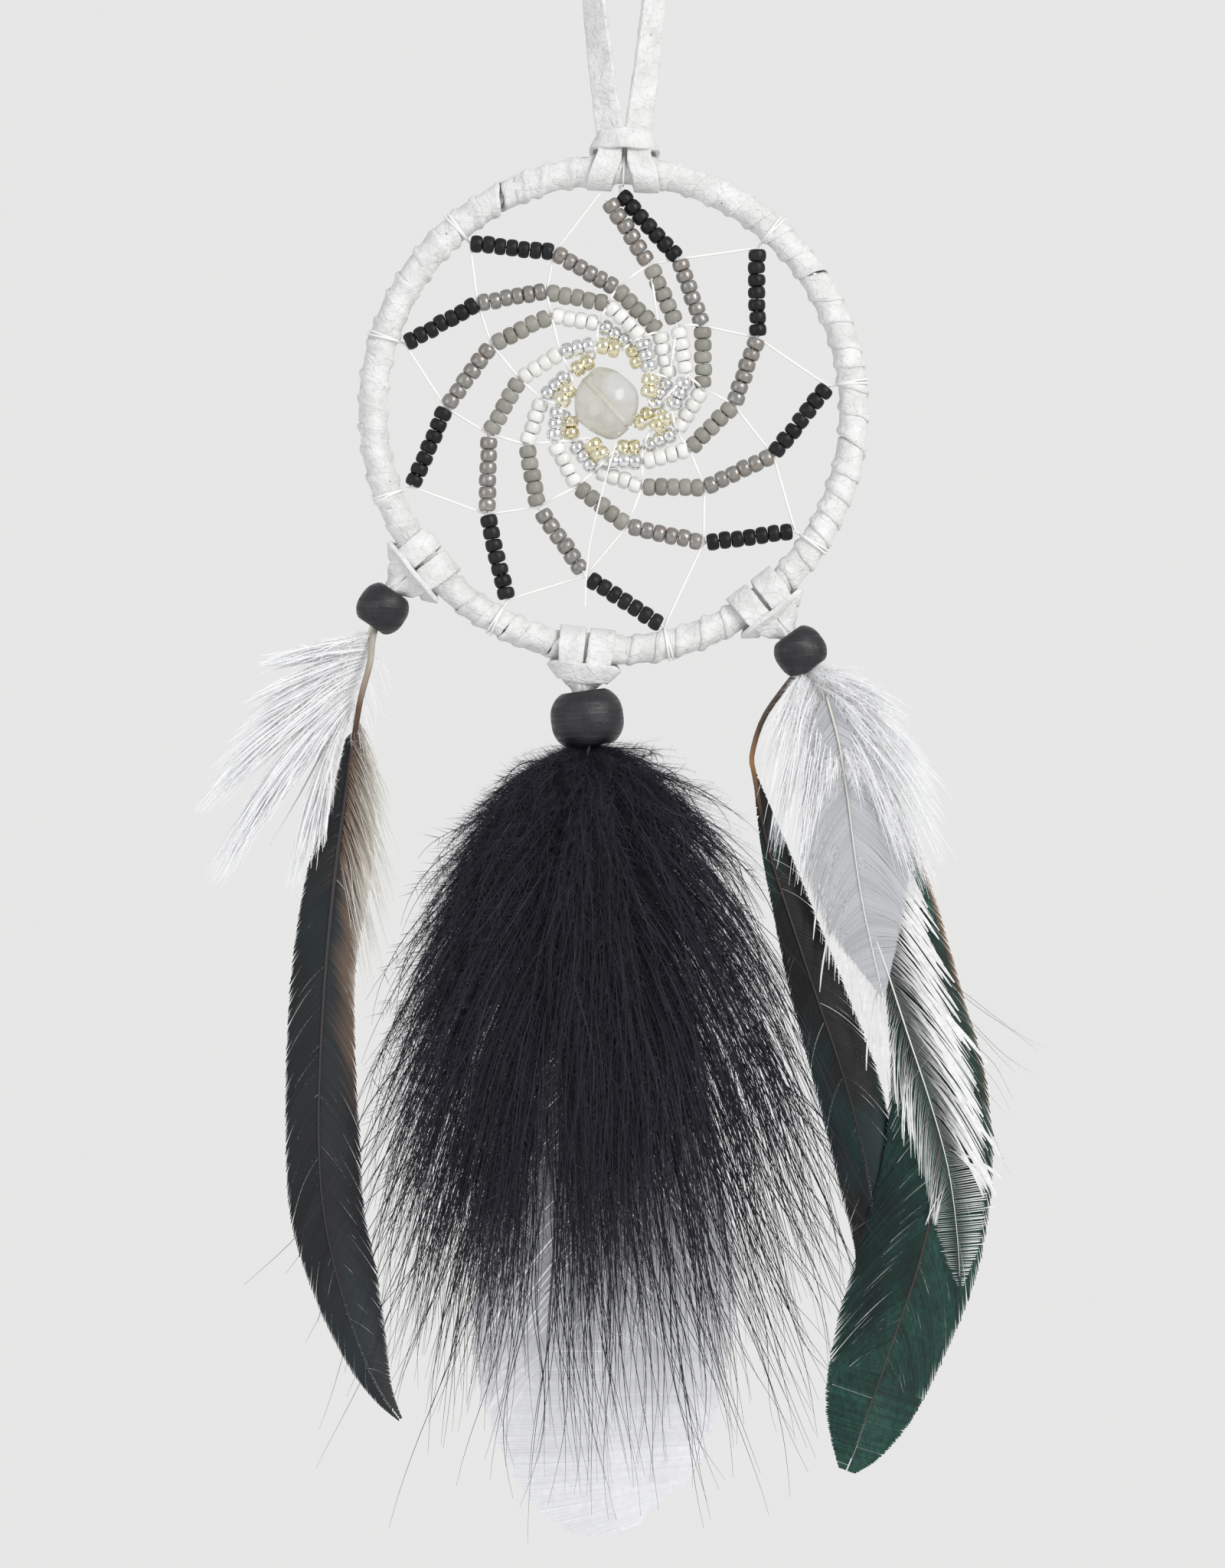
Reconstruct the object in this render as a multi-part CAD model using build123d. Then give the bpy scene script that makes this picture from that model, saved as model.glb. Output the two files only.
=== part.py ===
from build123d import *

import os
import random
from math import cos, radians, sin, tan

# Dream catcher: a suede-wrapped wire hoop that hangs from a suede loop, with a swirl of glass
# seed beads on a thread web round a drilled stone, and three droppers, each a suede hitch, a
# turned wood bead and a bunch of feathers.
#
# Frame: millimetres, +Z up, the hoop lies in the XZ plane and its front faces -Y. The origin is
# the hook point, in the top of the hanging loop just under its knot.
# Distances named (x, z) in this file are counted from the hoop's centre.

os.makedirs("parts", exist_ok=True)

# ---- driving dimensions -------------------------------------------------------------------
HOOK_TO_CENTRE = 117.0      # hook point down to the hoop's centre
HOOP_OFFSET_X = -1.9        # the hoop's centre stands this far to the left of the hook point
HOOP_R = 43.6               # hoop's centre circle: a 90 mm ring of 3 mm wire
WIRE_R = 1.5
WRAP_R = 2.8                # radius of the wire with its suede wrap
WRAP_GAP = 0.1              # the wrap's play on the wire
LACE_W = 5.0                # suede lace
LACE_T = 1.2
THREAD_R = 0.22
TAIL_THREAD_R = 0.15
BEAD_HOLE_R = 0.45
CLEAR = 0.3                 # room between soft pieces of two bodies

HITCH_BORE_R = 3.15         # a lace hitch's turns round the wrapped hoop
HITCH_OUT_R = 4.25
HITCH_TURN = 4.5            # width of one turn along the hoop
HITCH_SPLIT = 1.3           # gap between its two turns
TOP_HITCH_SPLIT = 4.9       # the top one's turns stand apart, with the web's first tie between them
COLLAR_FOOT = 2.9           # the collar's wide end, counted from the hoop's centre circle
COLLAR_TOP = 5.6
PIVOT_OUT = 6.2             # where a dropper swings, counted from the hoop's centre circle

TOP_HITCH_DEG = 87.5        # places on the hoop, counter-clockwise from +X
LEFT_HITCH_DEG = 219.0
CENTRE_HITCH_DEG = 263.5
RIGHT_HITCH_DEG = 308.0
LEFT_DROP_DEG = 236.0       # directions of the wood beads' holes
CENTRE_DROP_DEG = 278.0
RIGHT_DROP_DEG = 306.0

rng = random.Random(11)     # small unevenness of hand work


# ---- helpers ------------------------------------------------------------------------------
def at(x, z, y=0.0):
    """A point given from the hoop's centre."""
    return Vector(HOOP_OFFSET_X + x, y, z - HOOK_TO_CENTRE)


def polar(radius, angle_deg, y=0.0):
    return at(radius * cos(radians(angle_deg)), radius * sin(radians(angle_deg)), y)


def heading(angle_deg):
    """Unit direction in the hoop's plane."""
    return Vector(cos(radians(angle_deg)), 0, sin(radians(angle_deg)))


def save(node, *solids):
    shape = solids[0] if len(solids) == 1 else Compound(children=list(solids))
    export_step(shape, f"parts/{node}.step")


def rod(start, end, radius):
    """A straight round bar between two points."""
    axis = end - start
    return Solid.make_cylinder(radius, axis.length, Plane(origin=start, z_dir=axis))


def arc_quill(start, middle, end, radius):
    path = ThreePointArc(start, middle, end)
    section = Plane(origin=start, z_dir=path % 0) * Circle(radius)
    return sweep(section, path=path)


# ---- hoop ---------------------------------------------------------------------------------
hoop_plane = Plane(origin=at(0, 0), x_dir=(1, 0, 0), z_dir=(0, -1, 0))


def make_hoop():
    wire = hoop_plane.location * Solid.make_torus(HOOP_R, WIRE_R)
    shell = Solid.make_torus(HOOP_R, WRAP_R) - Solid.make_torus(HOOP_R, WIRE_R + WRAP_GAP)
    save("hoop_wire", wire)
    save("hoop_wrap", hoop_plane.location * shell)


# ---- beaded web ---------------------------------------------------------------------------
# Each arm of the swirl runs inward from the hoop through knots in the thread. Between its knots
# it carries runs of one colour. Arm 0 is the thread's second lap: it starts at the first arm's
# tie on the hoop and has no black run.
RUNS = ["black", "lustre", "matte", "white", "silver", "gold"]
COUNTS = {"black": 7, "lustre": 6, "matte": 5, "white": 4, "silver": 3, "gold": 2}
BEAD_R = {"black": 1.54, "lustre": 1.54, "matte": 1.52, "white": 1.46, "silver": 1.4, "gold": 1.4}
BEAD_L = {"black": 2.02, "lustre": 2.0, "matte": 1.98, "white": 1.86, "silver": 1.78, "gold": 1.78}
ARMS = [
    [(-1.0, 38.2), (6.6, 26.5), (11.6, 15.4), (13.4, 6.2), (10.6, -0.4), (6.6, -4.0)],
    [(1.2, 39.5), (11.8, 27.4), (16.3, 15.3), (16.3, 3.9), (11.4, -3.9), (5.3, -6.8), (0.4, -6.9)],
    [(26.0, 29.4), (26.1, 13.2), (21.8, 1.0), (13.8, -7.2), (5.2, -9.4), (-1.3, -9.1), (-4.4, -5.1)],
    [(38.9, 4.4), (29.0, -8.2), (16.5, -14.0), (5.3, -13.8), (-3.3, -11.0), (-7.4, -5.6), (-8.0, -0.5)],
    [(33.0, -22.0), (16.4, -24.0), (2.5, -21.0), (-6.6, -13.9), (-10.7, -5.8), (-10.0, 0.8), (-7.3, 4.6)],
    [(9.2, -39.4), (-5.0, -30.0), (-13.6, -17.5), (-15.8, -6.3), (-13.0, 2.0), (-7.8, 6.9), (-3.4, 9.6)],
    [(-19.2, -34.4), (-22.9, -18.9), (-22.6, -4.3), (-16.9, 5.5), (-9.6, 10.4), (-3.2, 11.9), (1.6, 10.8)],
    [(-36.5, -13.9), (-30.3, 0.4), (-22.1, 11.9), (-11.3, 17.3), (-2.6, 15.7), (3.1, 12.1), (5.2, 7.6)],
    [(-37.8, 12.0), (-24.6, 19.4), (-12.1, 21.5), (-1.0, 19.2), (5.2, 13.1), (6.9, 6.6), (6.2, 2.1)],
    [(-26.0, 30.3), (-10.7, 28.6), (0.6, 22.1), (8.3, 14.3), (10.1, 5.8), (7.3, 0.1), (3.9, -3.0)],
]
LAP_END = (-2.4, 39.2)      # where the first lap comes back to the hoop
LEVEL_Y = [0.0, 0.0, 0.15, 0.4, 0.85, 1.15, 1.25]   # neighbouring arms part front and back
START_Y = {0: -0.9, 1: 0.9}     # these two start side by side, so they part at once
TIE_LIFT = 0.28             # the thread's loops stand this far off the wrap
KNOT_ROOM = 0.5             # bare thread left at the two ends of a beaded run
KNOT_EASE = 0.45            # a beaded stretch of thread stops this far from its knots
BARE_EASE = 2.1             # a bare one stops outside the beads beside its knots


def knots(arm):
    """The arm's knots, outermost first; arm 0 has none on the first lap."""
    first = len(RUNS) + 1 - len(ARMS[arm])
    side = 1.0 if arm % 2 else -1.0
    depths = [side * depth for depth in LEVEL_Y[first:]]
    depths[0] = START_Y.get(arm, depths[0])
    return [at(x, z, y) for (x, z), y in zip(ARMS[arm], depths)]


def knot(arm, level):
    """Level 0 is on the hoop, level 1 ends the black run, and so on."""
    missing = len(RUNS) + 1 - len(ARMS[arm])
    return knots(arm)[level - missing]


def seed_bead(radius, length):
    wall = radius - BEAD_HOLE_R
    corner = 0.46 * wall
    profile = Pos(BEAD_HOLE_R + wall / 2, 0) * RectangleRounded(wall, length, corner)
    return revolve(Plane.XZ * profile, Axis.Z)


def bead_run(colour, start, end):
    """Beads spread between two knots, each a little uneven in size, seat and tilt."""
    count = COUNTS[colour]
    along = end - start
    step = min((along.length - KNOT_ROOM) / count, BEAD_L[colour] * 1.08)
    longest = min(BEAD_L[colour], 0.97 * step)
    direction = along.normalized()
    across = direction.cross(Vector(0, 1, 0)).normalized()
    middle = (start + end) * 0.5
    beads = []
    for i in range(count):
        radius = BEAD_R[colour] * rng.uniform(0.965, 1.01)
        length = longest * rng.uniform(0.95, 1.0)
        lean = direction + across * rng.uniform(-0.04, 0.04)
        seat = across * rng.uniform(-0.1, 0.1)
        centre = middle + direction * step * (i - (count - 1) / 2) + seat
        beads.append(Plane(origin=centre, z_dir=lean).location * seed_bead(radius, length))
    return beads


def bare_stretches():
    """The thread's beadless stretches, from each knot to the next arm's knot one level out.

    Further in than the second lap, the beads hide them and leave them no room.
    """
    last = len(ARMS) - 1
    first_lap = [(knot(arm, 1), knot(arm + 1, 0)) for arm in range(1, last)]
    first_lap.append((knot(last, 1), at(*LAP_END)))
    second_lap = [(knot(arm, 2), knot(arm + 1, 1)) for arm in range(last)]
    second_lap.append((knot(last, 2), knot(0, 2)))
    return first_lap + second_lap


def thread_stretch(start, end, ease):
    direction = (end - start).normalized()
    return rod(start + direction * ease, end - direction * ease, THREAD_R)


def make_web():
    groups = {colour: [] for colour in RUNS}
    for arm in range(len(ARMS)):
        places = knots(arm)
        colours = RUNS[len(RUNS) + 1 - len(places):]
        for colour, start, end in zip(colours, places, places[1:]):
            groups[colour] += bead_run(colour, start, end)
    for colour, beads in groups.items():
        save(f"{colour}_beads", *beads)

    thread = []
    for arm in range(len(ARMS)):
        places = knots(arm)
        thread += [thread_stretch(start, end, KNOT_EASE) for start, end in zip(places, places[1:])]
    for start, end in bare_stretches():
        thread.append(thread_stretch(start, end, BARE_EASE))
    for arm in range(1, len(ARMS)):
        x, z = ARMS[arm][0]
        angle = Vector(x, z, 0).get_signed_angle(Vector(1, 0, 0), Vector(0, 0, -1))
        loop_plane = Plane(origin=polar(HOOP_R, angle), z_dir=heading(angle + 90))
        thread.append(loop_plane.location * Solid.make_torus(WRAP_R + TIE_LIFT, THREAD_R))
    save("web_thread", *thread)


# ---- centre stone -------------------------------------------------------------------------
STONE_AT = (-1.4, 1.5)
STONE_AXIS_DEG = -47.0      # its hole and thread run down to the right
STONE_HALF = (5.0, 3.9, 5.3)    # across, deep, along the hole
STONE_HOLE_R = 0.5
STONE_THREAD_HALF = 6.6


def faceted_stone():
    """A hand-cut pebble: a block planed down to an egg by flat facets."""
    stone = Box(*(2.4 * half for half in STONE_HALF))
    rows = [(90, 1, 0), (56, 5, 10), (20, 7, 31), (-16, 7, 5), (-52, 5, 44), (-90, 1, 0)]
    for tilt, count, turn in rows:
        for i in range(count):
            spin = turn + 360 * i / count
            normal = Vector(
                cos(radians(tilt)) * cos(radians(spin)),
                cos(radians(tilt)) * sin(radians(spin)),
                sin(radians(tilt)),
            )
            reach = Vector(*(n * half for n, half in zip(normal, STONE_HALF))).length
            facet = Plane(origin=normal * reach * rng.uniform(0.95, 1.0), z_dir=normal)
            stone = split(stone, bisect_by=facet, keep=Keep.BOTTOM)
    return stone - Cylinder(STONE_HOLE_R, 4 * STONE_HALF[2])


def make_stone():
    seat = Plane(origin=at(*STONE_AT), x_dir=heading(STONE_AXIS_DEG + 90), z_dir=heading(STONE_AXIS_DEG))
    save("centre_stone", seat.location * faceted_stone())
    reach = heading(STONE_AXIS_DEG) * STONE_THREAD_HALF
    save("stone_thread", rod(at(*STONE_AT) - reach, at(*STONE_AT) + reach, THREAD_R))


# ---- loose end of the web's thread --------------------------------------------------------
THREAD_TAIL = [(0.5, -6.2), (-1.5, -12.8), (-3.3, -19.8), (-4.9, -27.4), (-5.1, -35.6)]
THREAD_TAIL_Y = -3.3


def cord_path(points):
    """Straight runs joined by arcs as large as the two runs beside each corner allow."""
    runs = [b - a for a, b in zip(points, points[1:])]
    radii = []
    for before, after in zip(runs, runs[1:]):
        turn = radians(before.get_angle(after))
        radii.append(0.45 * min(before.length, after.length) / tan(turn / 2))
    print("arc radii:", [round(radius, 1) for radius in radii])
    return FilletPolyline(*points, radius=radii)


def make_thread_tail():
    path = cord_path([at(x, z, THREAD_TAIL_Y) for x, z in THREAD_TAIL])
    section = Plane(origin=path @ 0, z_dir=path % 0) * Circle(TAIL_THREAD_R)
    tube = sweep(section, path=path)
    section_area = 3.14159 * TAIL_THREAD_R**2
    print("thread tail", round(path.length, 1), "volume ratio", tube.volume / (section_area * path.length))
    save("thread_tail", tube)


# ---- lace hitches on the hoop -------------------------------------------------------------
def hitch(angle_deg, gap=HITCH_SPLIT):
    """Two turns of lace round the hoop and the bight's funnel in front, as one lace."""
    reach = gap / 2 + HITCH_TURN / 2
    turns = []
    for side in (-1, 1):
        turn = Solid.make_cylinder(HITCH_OUT_R, HITCH_TURN) - Solid.make_cylinder(HITCH_BORE_R, HITCH_TURN)
        turns.append(Pos(side * reach - HITCH_TURN / 2, 0, 0) * (Rot(0, 90, 0) * turn))
    foot = Pos(0, 0, COLLAR_FOOT)
    rim = Pos(0, 0, COLLAR_TOP)
    outer = loft([foot * Ellipse(6.9, 4.5), rim * Ellipse(4.3, 2.7)])
    inner = loft([foot * Ellipse(5.8, 3.4), rim * Ellipse(3.2, 1.6)])
    front = Pos(0, -10 + 0.9, 0) * Box(40, 20, 40)
    collar = (outer - inner) & front
    bore = Pos(-20, 0, 0) * (Rot(0, 90, 0) * Solid.make_cylinder(HITCH_BORE_R, 40))
    lace = turns[0] + turns[1] + (collar - bore)
    edge = gap / 2 + HITCH_TURN
    sagitta = edge**2 / (2 * HOOP_R)
    centre = polar(HOOP_R - sagitta / 2, angle_deg)
    return Plane(origin=centre, x_dir=heading(angle_deg - 90), z_dir=heading(angle_deg)).location * lace


# ---- droppers -----------------------------------------------------------------------------
def wood_bead(half_width, crown, half_height, hole_r):
    """A turned bead: an ellipsoid of revolution cut flat at both ends and drilled."""
    body = scale(Sphere(half_width), by=(1, 1, crown / half_width))
    body = body & Cylinder(2 * half_width, 2 * half_height)
    return body - Cylinder(hole_r, 4 * half_height)


def dropper_tail(length, stem_r):
    """The two lace ends, from the swing point down into the wood bead (local -Z is down)."""
    head = Rot(90, 0, 0) * Cylinder(1.1, 2.0)
    stem = Pos(0, 0, -length / 2) * Cylinder(stem_r, length)
    return head + stem


def vane(stations, tip, y, thickness):
    """A feather's blade: (x, z, left, right) stations along its shaft, then its tip."""
    shaft = [Vector(x, z, 0) for x, z, left, right in stations] + [Vector(*tip, 0)]
    left_edge = []
    right_edge = []
    for i, (x, z, left, right) in enumerate(stations):
        along = (shaft[i + 1] - shaft[max(i - 1, 0)]).normalized()
        side = Vector(-along.Y, along.X, 0)
        left_edge.append(shaft[i] - side * left)
        right_edge.append(shaft[i] + side * right)
    base = (left_edge[0] + right_edge[0]) * 0.5 - (shaft[1] - shaft[0]).normalized() * 0.8
    outline = [
        Spline([base] + left_edge + [shaft[-1]]),
        Spline([shaft[-1]] + right_edge[::-1] + [base]),
    ]
    blade = extrude(make_face(outline), thickness / 2, both=True)
    plane = Plane(origin=at(0, 0, y), x_dir=(1, 0, 0), z_dir=(0, -1, 0))
    return plane.location * blade


VANE_T = 0.5

LEFT_COCK = [
    (-46.9, -58.5, 1.6, 1.8), (-48.2, -72, 3.0, 4.2), (-50.5, -90, 6.0, 5.0), (-52.6, -112, 6.4, 5.6),
    (-53.2, -134, 6.0, 6.6), (-51.0, -152, 6.4, 6.2), (-46.2, -168, 4.4, 4.6),
]
LEFT_HACKLE = [(-46.8, -46.6, 2.0, 1.5), (-50.5, -55, 5.5, 3.0), (-55, -66, 6.5, 4.0), (-59.5, -77, 4.0, 3.0)]
PLUME_LEFT = [
    (-4.4, -65, 2.0, 2.0), (-7, -84, 11, 9), (-9, -110, 14, 12), (-9.5, -138, 13, 12), (-8, -160, 8, 9),
]
PLUME_RIGHT = [
    (-3.4, -65, 2.0, 2.0), (0.5, -84, 10, 11), (3, -110, 12, 13), (3.5, -138, 12, 12), (2, -160, 8, 8),
]
BACK_FEATHER = [
    (-4, -66, 2.0, 2.0), (-3, -95, 10, 10), (-1, -130, 15, 15), (1, -165, 17, 16), (2, -190, 13, 12),
]
RIGHT_HACKLE = [
    (38.6, -52, 2.2, 2.2), (41, -64, 6.5, 7.5), (43.6, -80, 8.0, 9.0), (47.5, -100, 8.0, 8.5),
    (55, -121, 7.0, 7.0), (61.0, -139, 5.5, 6.0),
]
RIGHT_COCK = [
    (41.5, -57, 1.8, 1.8), (48.5, -78, 4.5, 5.0), (54.5, -98, 6.5, 6.0), (58.5, -118, 8.0, 8.0),
    (58.8, -138, 10.0, 9.8), (54, -158, 11.0, 10.8), (48, -176, 9.0, 9.0), (43.8, -187.5, 4.5, 4.8),
]
RIGHT_DARK = [
    (28.4, -80.5, 1.4, 1.6), (31.5, -90, 2.8, 3.4), (37, -105, 4.2, 5.0), (43, -124, 5.2, 5.6),
    (46, -142, 5.4, 5.6),
]


def dropper_frame(hitch_deg, drop_deg):
    """Swing point on the hoop's outside, with local Z up along the wood bead's hole."""
    pivot = polar(HOOP_R + PIVOT_OUT, hitch_deg)
    return Plane(origin=pivot, x_dir=heading(drop_deg + 90), z_dir=heading(drop_deg + 180))


def make_left_dropper():
    frame = dropper_frame(LEFT_HITCH_DEG, LEFT_DROP_DEG).location
    save("left_hitch", hitch(LEFT_HITCH_DEG))
    save("left_wood_bead", frame * (Pos(0, 0, -5.6) * wood_bead(4.65, 4.65, 3.95, 1.95)))
    save("left_lace_ends", frame * dropper_tail(5.0, 0.85))
    save("left_cock_quill", arc_quill(at(-42.7, -37.2, 0.6), at(-45.4, -46, 0.5), at(-46.8, -57.3, 0.4), 0.55))
    save("left_cock_feather", vane(LEFT_COCK, (-38.6, -184), 0.4, VANE_T))
    save("left_hackle_quill", arc_quill(at(-42.9, -37.1, -0.9), at(-44.9, -41, -1.1), at(-46.4, -45.2, -1.3), 0.45))
    save("left_hackle_feather", vane(LEFT_HACKLE, (-63, -86), -1.3, 0.8))


def make_centre_dropper():
    frame = dropper_frame(CENTRE_HITCH_DEG, CENTRE_DROP_DEG).location
    save("centre_hitch", hitch(CENTRE_HITCH_DEG))
    save("centre_wood_bead", frame * (Pos(0, 0, -6.5) * wood_bead(6.55, 5.6, 5.0, 2.4)))
    save("centre_lace_ends", frame * dropper_tail(6.0, 1.1))
    save("plume_left_quill", rod(at(-4.6, -57, -1.5), at(-4.4, -63.9, -1.5), 0.5))
    save("plume_left", vane(PLUME_LEFT, (-6, -177), -1.5, 0.8))
    save("plume_right_quill", rod(at(-3.6, -57, -0.2), at(-3.4, -63.9, -0.2), 0.5))
    save("plume_right", vane(PLUME_RIGHT, (0, -179), -0.2, 0.8))
    save("back_feather_quill", rod(at(-4.4, -57, 1.2), at(-4.0, -64.9, 1.2), 0.55))
    save("back_feather", vane(BACK_FEATHER, (3, -204), 1.2, 0.6))


def make_right_dropper():
    frame = dropper_frame(RIGHT_HITCH_DEG, RIGHT_DROP_DEG).location
    save("right_hitch", hitch(RIGHT_HITCH_DEG))
    save("right_wood_bead", frame * (Pos(0, 0, -5.6) * wood_bead(4.65, 4.65, 3.95, 1.95)))
    save("right_lace_ends", frame * dropper_tail(5.0, 0.85))
    save("right_hackle_quill", arc_quill(at(34.9, -44.7, -1.2), at(36.9, -47.9, -1.4), at(38.4, -51, -1.6), 0.45))
    save("right_hackle_feather", vane(RIGHT_HACKLE, (62.6, -157), -1.6, VANE_T))
    save("right_cock_quill", arc_quill(at(35.0, -44.6, 0), at(38.5, -49.6, 0), at(41.2, -56, 0), 0.5))
    save("right_cock_feather", vane(RIGHT_COCK, (42, -193.6), 0.0, VANE_T))
    save("right_dark_quill", right_dark_quill())
    save("right_dark_feather", vane(RIGHT_DARK, (43.5, -157), 1.5, VANE_T))


def right_dark_quill():
    """It leaves the bead's lower end, bows out to the left and comes back to its blade."""
    return arc_quill(at(33.6, -48.9, 1.3), at(24.6, -62.5, 1.5), at(27.9, -79.2, 1.5), 0.45)


# ---- hanging loop -------------------------------------------------------------------------
LEG_TOP_HITCH = 50.4        # legs stand clear of the hitch's funnel from here up
LEG_ROUTE_LEFT = [(-2.5, LEG_TOP_HITCH), (-5.4, 72.0), (-6.8, 93.0), (-4.7, 108.6), (-2.4, 119.5)]
LEG_ROUTE_RIGHT = [(2.5, LEG_TOP_HITCH), (5.6, 72.0), (6.5, 94.0), (4.4, 109.2), (2.4, 119.5)]
LEG_TURN_DEG = 50           # each leg's inner edge is turned this far to the front
KNOT_HALF = (4.3, 3.4, 4.2)
KNOT_UP = 5.2               # knot's middle above the hook point
LACE_END = 15.0             # short ends above the knot


def lace_leg(route, side):
    """A flat leg; side is -1 for the left one, whose face looks to the front left."""
    centre_x = HOOP_R * cos(radians(TOP_HITCH_DEG))
    across = Vector(cos(radians(LEG_TURN_DEG)), side * sin(radians(LEG_TURN_DEG)), 0)
    path = cord_path([at(centre_x + x, z) for x, z in route])
    across = across - (path % 0) * across.dot(path % 0)
    section = Plane(origin=path @ 0, x_dir=across, z_dir=path % 0) * Rectangle(LACE_W, LACE_T)
    strap = sweep(section, path=path)
    print("lace leg", round(path.length, 1), "volume ratio", strap.volume / (LACE_W * LACE_T * path.length))
    return strap


def make_hanging_loop():
    save("hang_hitch", hitch(TOP_HITCH_DEG, TOP_HITCH_SPLIT))
    save("hang_lace_left", lace_leg(LEG_ROUTE_LEFT, -1))
    save("hang_lace_right", lace_leg(LEG_ROUTE_RIGHT, 1))
    ball = scale(Sphere(KNOT_HALF[2]), by=tuple(half / KNOT_HALF[2] for half in KNOT_HALF))
    knot_solid = Pos(0, 0, KNOT_UP) * ball
    for side in (-1, 1):
        end = Pos(side * 1.6, 0, KNOT_UP + 2.5) * (Rot(0, side * 14, 0) * Pos(0, 0, LACE_END / 2))
        knot_solid = knot_solid + end * Box(LACE_T, LACE_W * 0.9, LACE_END)
    save("hang_knot", knot_solid)


make_hoop()
make_web()
make_stone()
make_thread_tail()
make_hanging_loop()
make_left_dropper()
make_centre_dropper()
make_right_dropper()
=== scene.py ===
import math

import bpy
import numpy as np
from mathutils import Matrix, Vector


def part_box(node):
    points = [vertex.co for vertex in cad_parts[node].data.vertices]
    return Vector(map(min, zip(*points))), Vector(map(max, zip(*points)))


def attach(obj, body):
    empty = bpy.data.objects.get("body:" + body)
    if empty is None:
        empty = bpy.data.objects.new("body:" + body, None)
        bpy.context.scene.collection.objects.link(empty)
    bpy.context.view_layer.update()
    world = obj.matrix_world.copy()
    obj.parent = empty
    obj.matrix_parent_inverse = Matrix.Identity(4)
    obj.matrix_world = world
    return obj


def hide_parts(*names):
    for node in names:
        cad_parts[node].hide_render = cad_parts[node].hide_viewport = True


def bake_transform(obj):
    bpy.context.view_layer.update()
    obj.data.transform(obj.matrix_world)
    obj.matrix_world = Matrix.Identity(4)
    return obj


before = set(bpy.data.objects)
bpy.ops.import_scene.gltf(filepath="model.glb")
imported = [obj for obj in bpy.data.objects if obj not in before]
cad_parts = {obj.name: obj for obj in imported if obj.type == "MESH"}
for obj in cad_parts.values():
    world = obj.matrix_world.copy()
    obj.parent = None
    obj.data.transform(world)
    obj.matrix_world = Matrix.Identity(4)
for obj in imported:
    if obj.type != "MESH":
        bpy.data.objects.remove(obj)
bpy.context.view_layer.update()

MM = 0.001

# ---- where things are: all worked out from the CAD frame ----------------------------------
wire_low, wire_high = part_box("hoop_wire")
wrap_low, wrap_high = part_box("hoop_wrap")
CENTRE = (wire_low + wire_high) / 2             # the hoop's centre
WIRE_R = (wire_high.y - wire_low.y) / 2 / MM    # radii in millimetres
WRAP_R = (wrap_high.y - wrap_low.y) / 2 / MM
HOOP_R = (wire_high.x - wire_low.x) / 2 / MM - WIRE_R


def at(x, z, y=0.0):
    """A point given in millimetres from the hoop's centre."""
    return Vector((CENTRE.x + x * MM, y * MM, CENTRE.z + z * MM))


def heading(degrees):
    return Vector((math.cos(math.radians(degrees)), 0, math.sin(math.radians(degrees))))


# ---- camera -------------------------------------------------------------------------------
VIEW_AT = (-0.14, -67.8)        # what the middle of the picture looks at
VIEW_HEIGHT = 0.2844            # metres of the object from the picture's bottom to its top
CAMERA_AWAY = 1.15
SENSOR = 36.0


def make_camera():
    data = bpy.data.cameras.new("camera")
    data.sensor_width = SENSOR
    data.lens = SENSOR * CAMERA_AWAY / VIEW_HEIGHT
    data.clip_start = 0.01
    camera = bpy.data.objects.new("camera", data)
    bpy.context.scene.collection.objects.link(camera)
    camera.location = at(*VIEW_AT) + Vector((0, -CAMERA_AWAY, 0))
    camera.rotation_euler = (math.radians(90), 0, 0)
    bpy.context.scene.camera = camera


make_camera()


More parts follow.
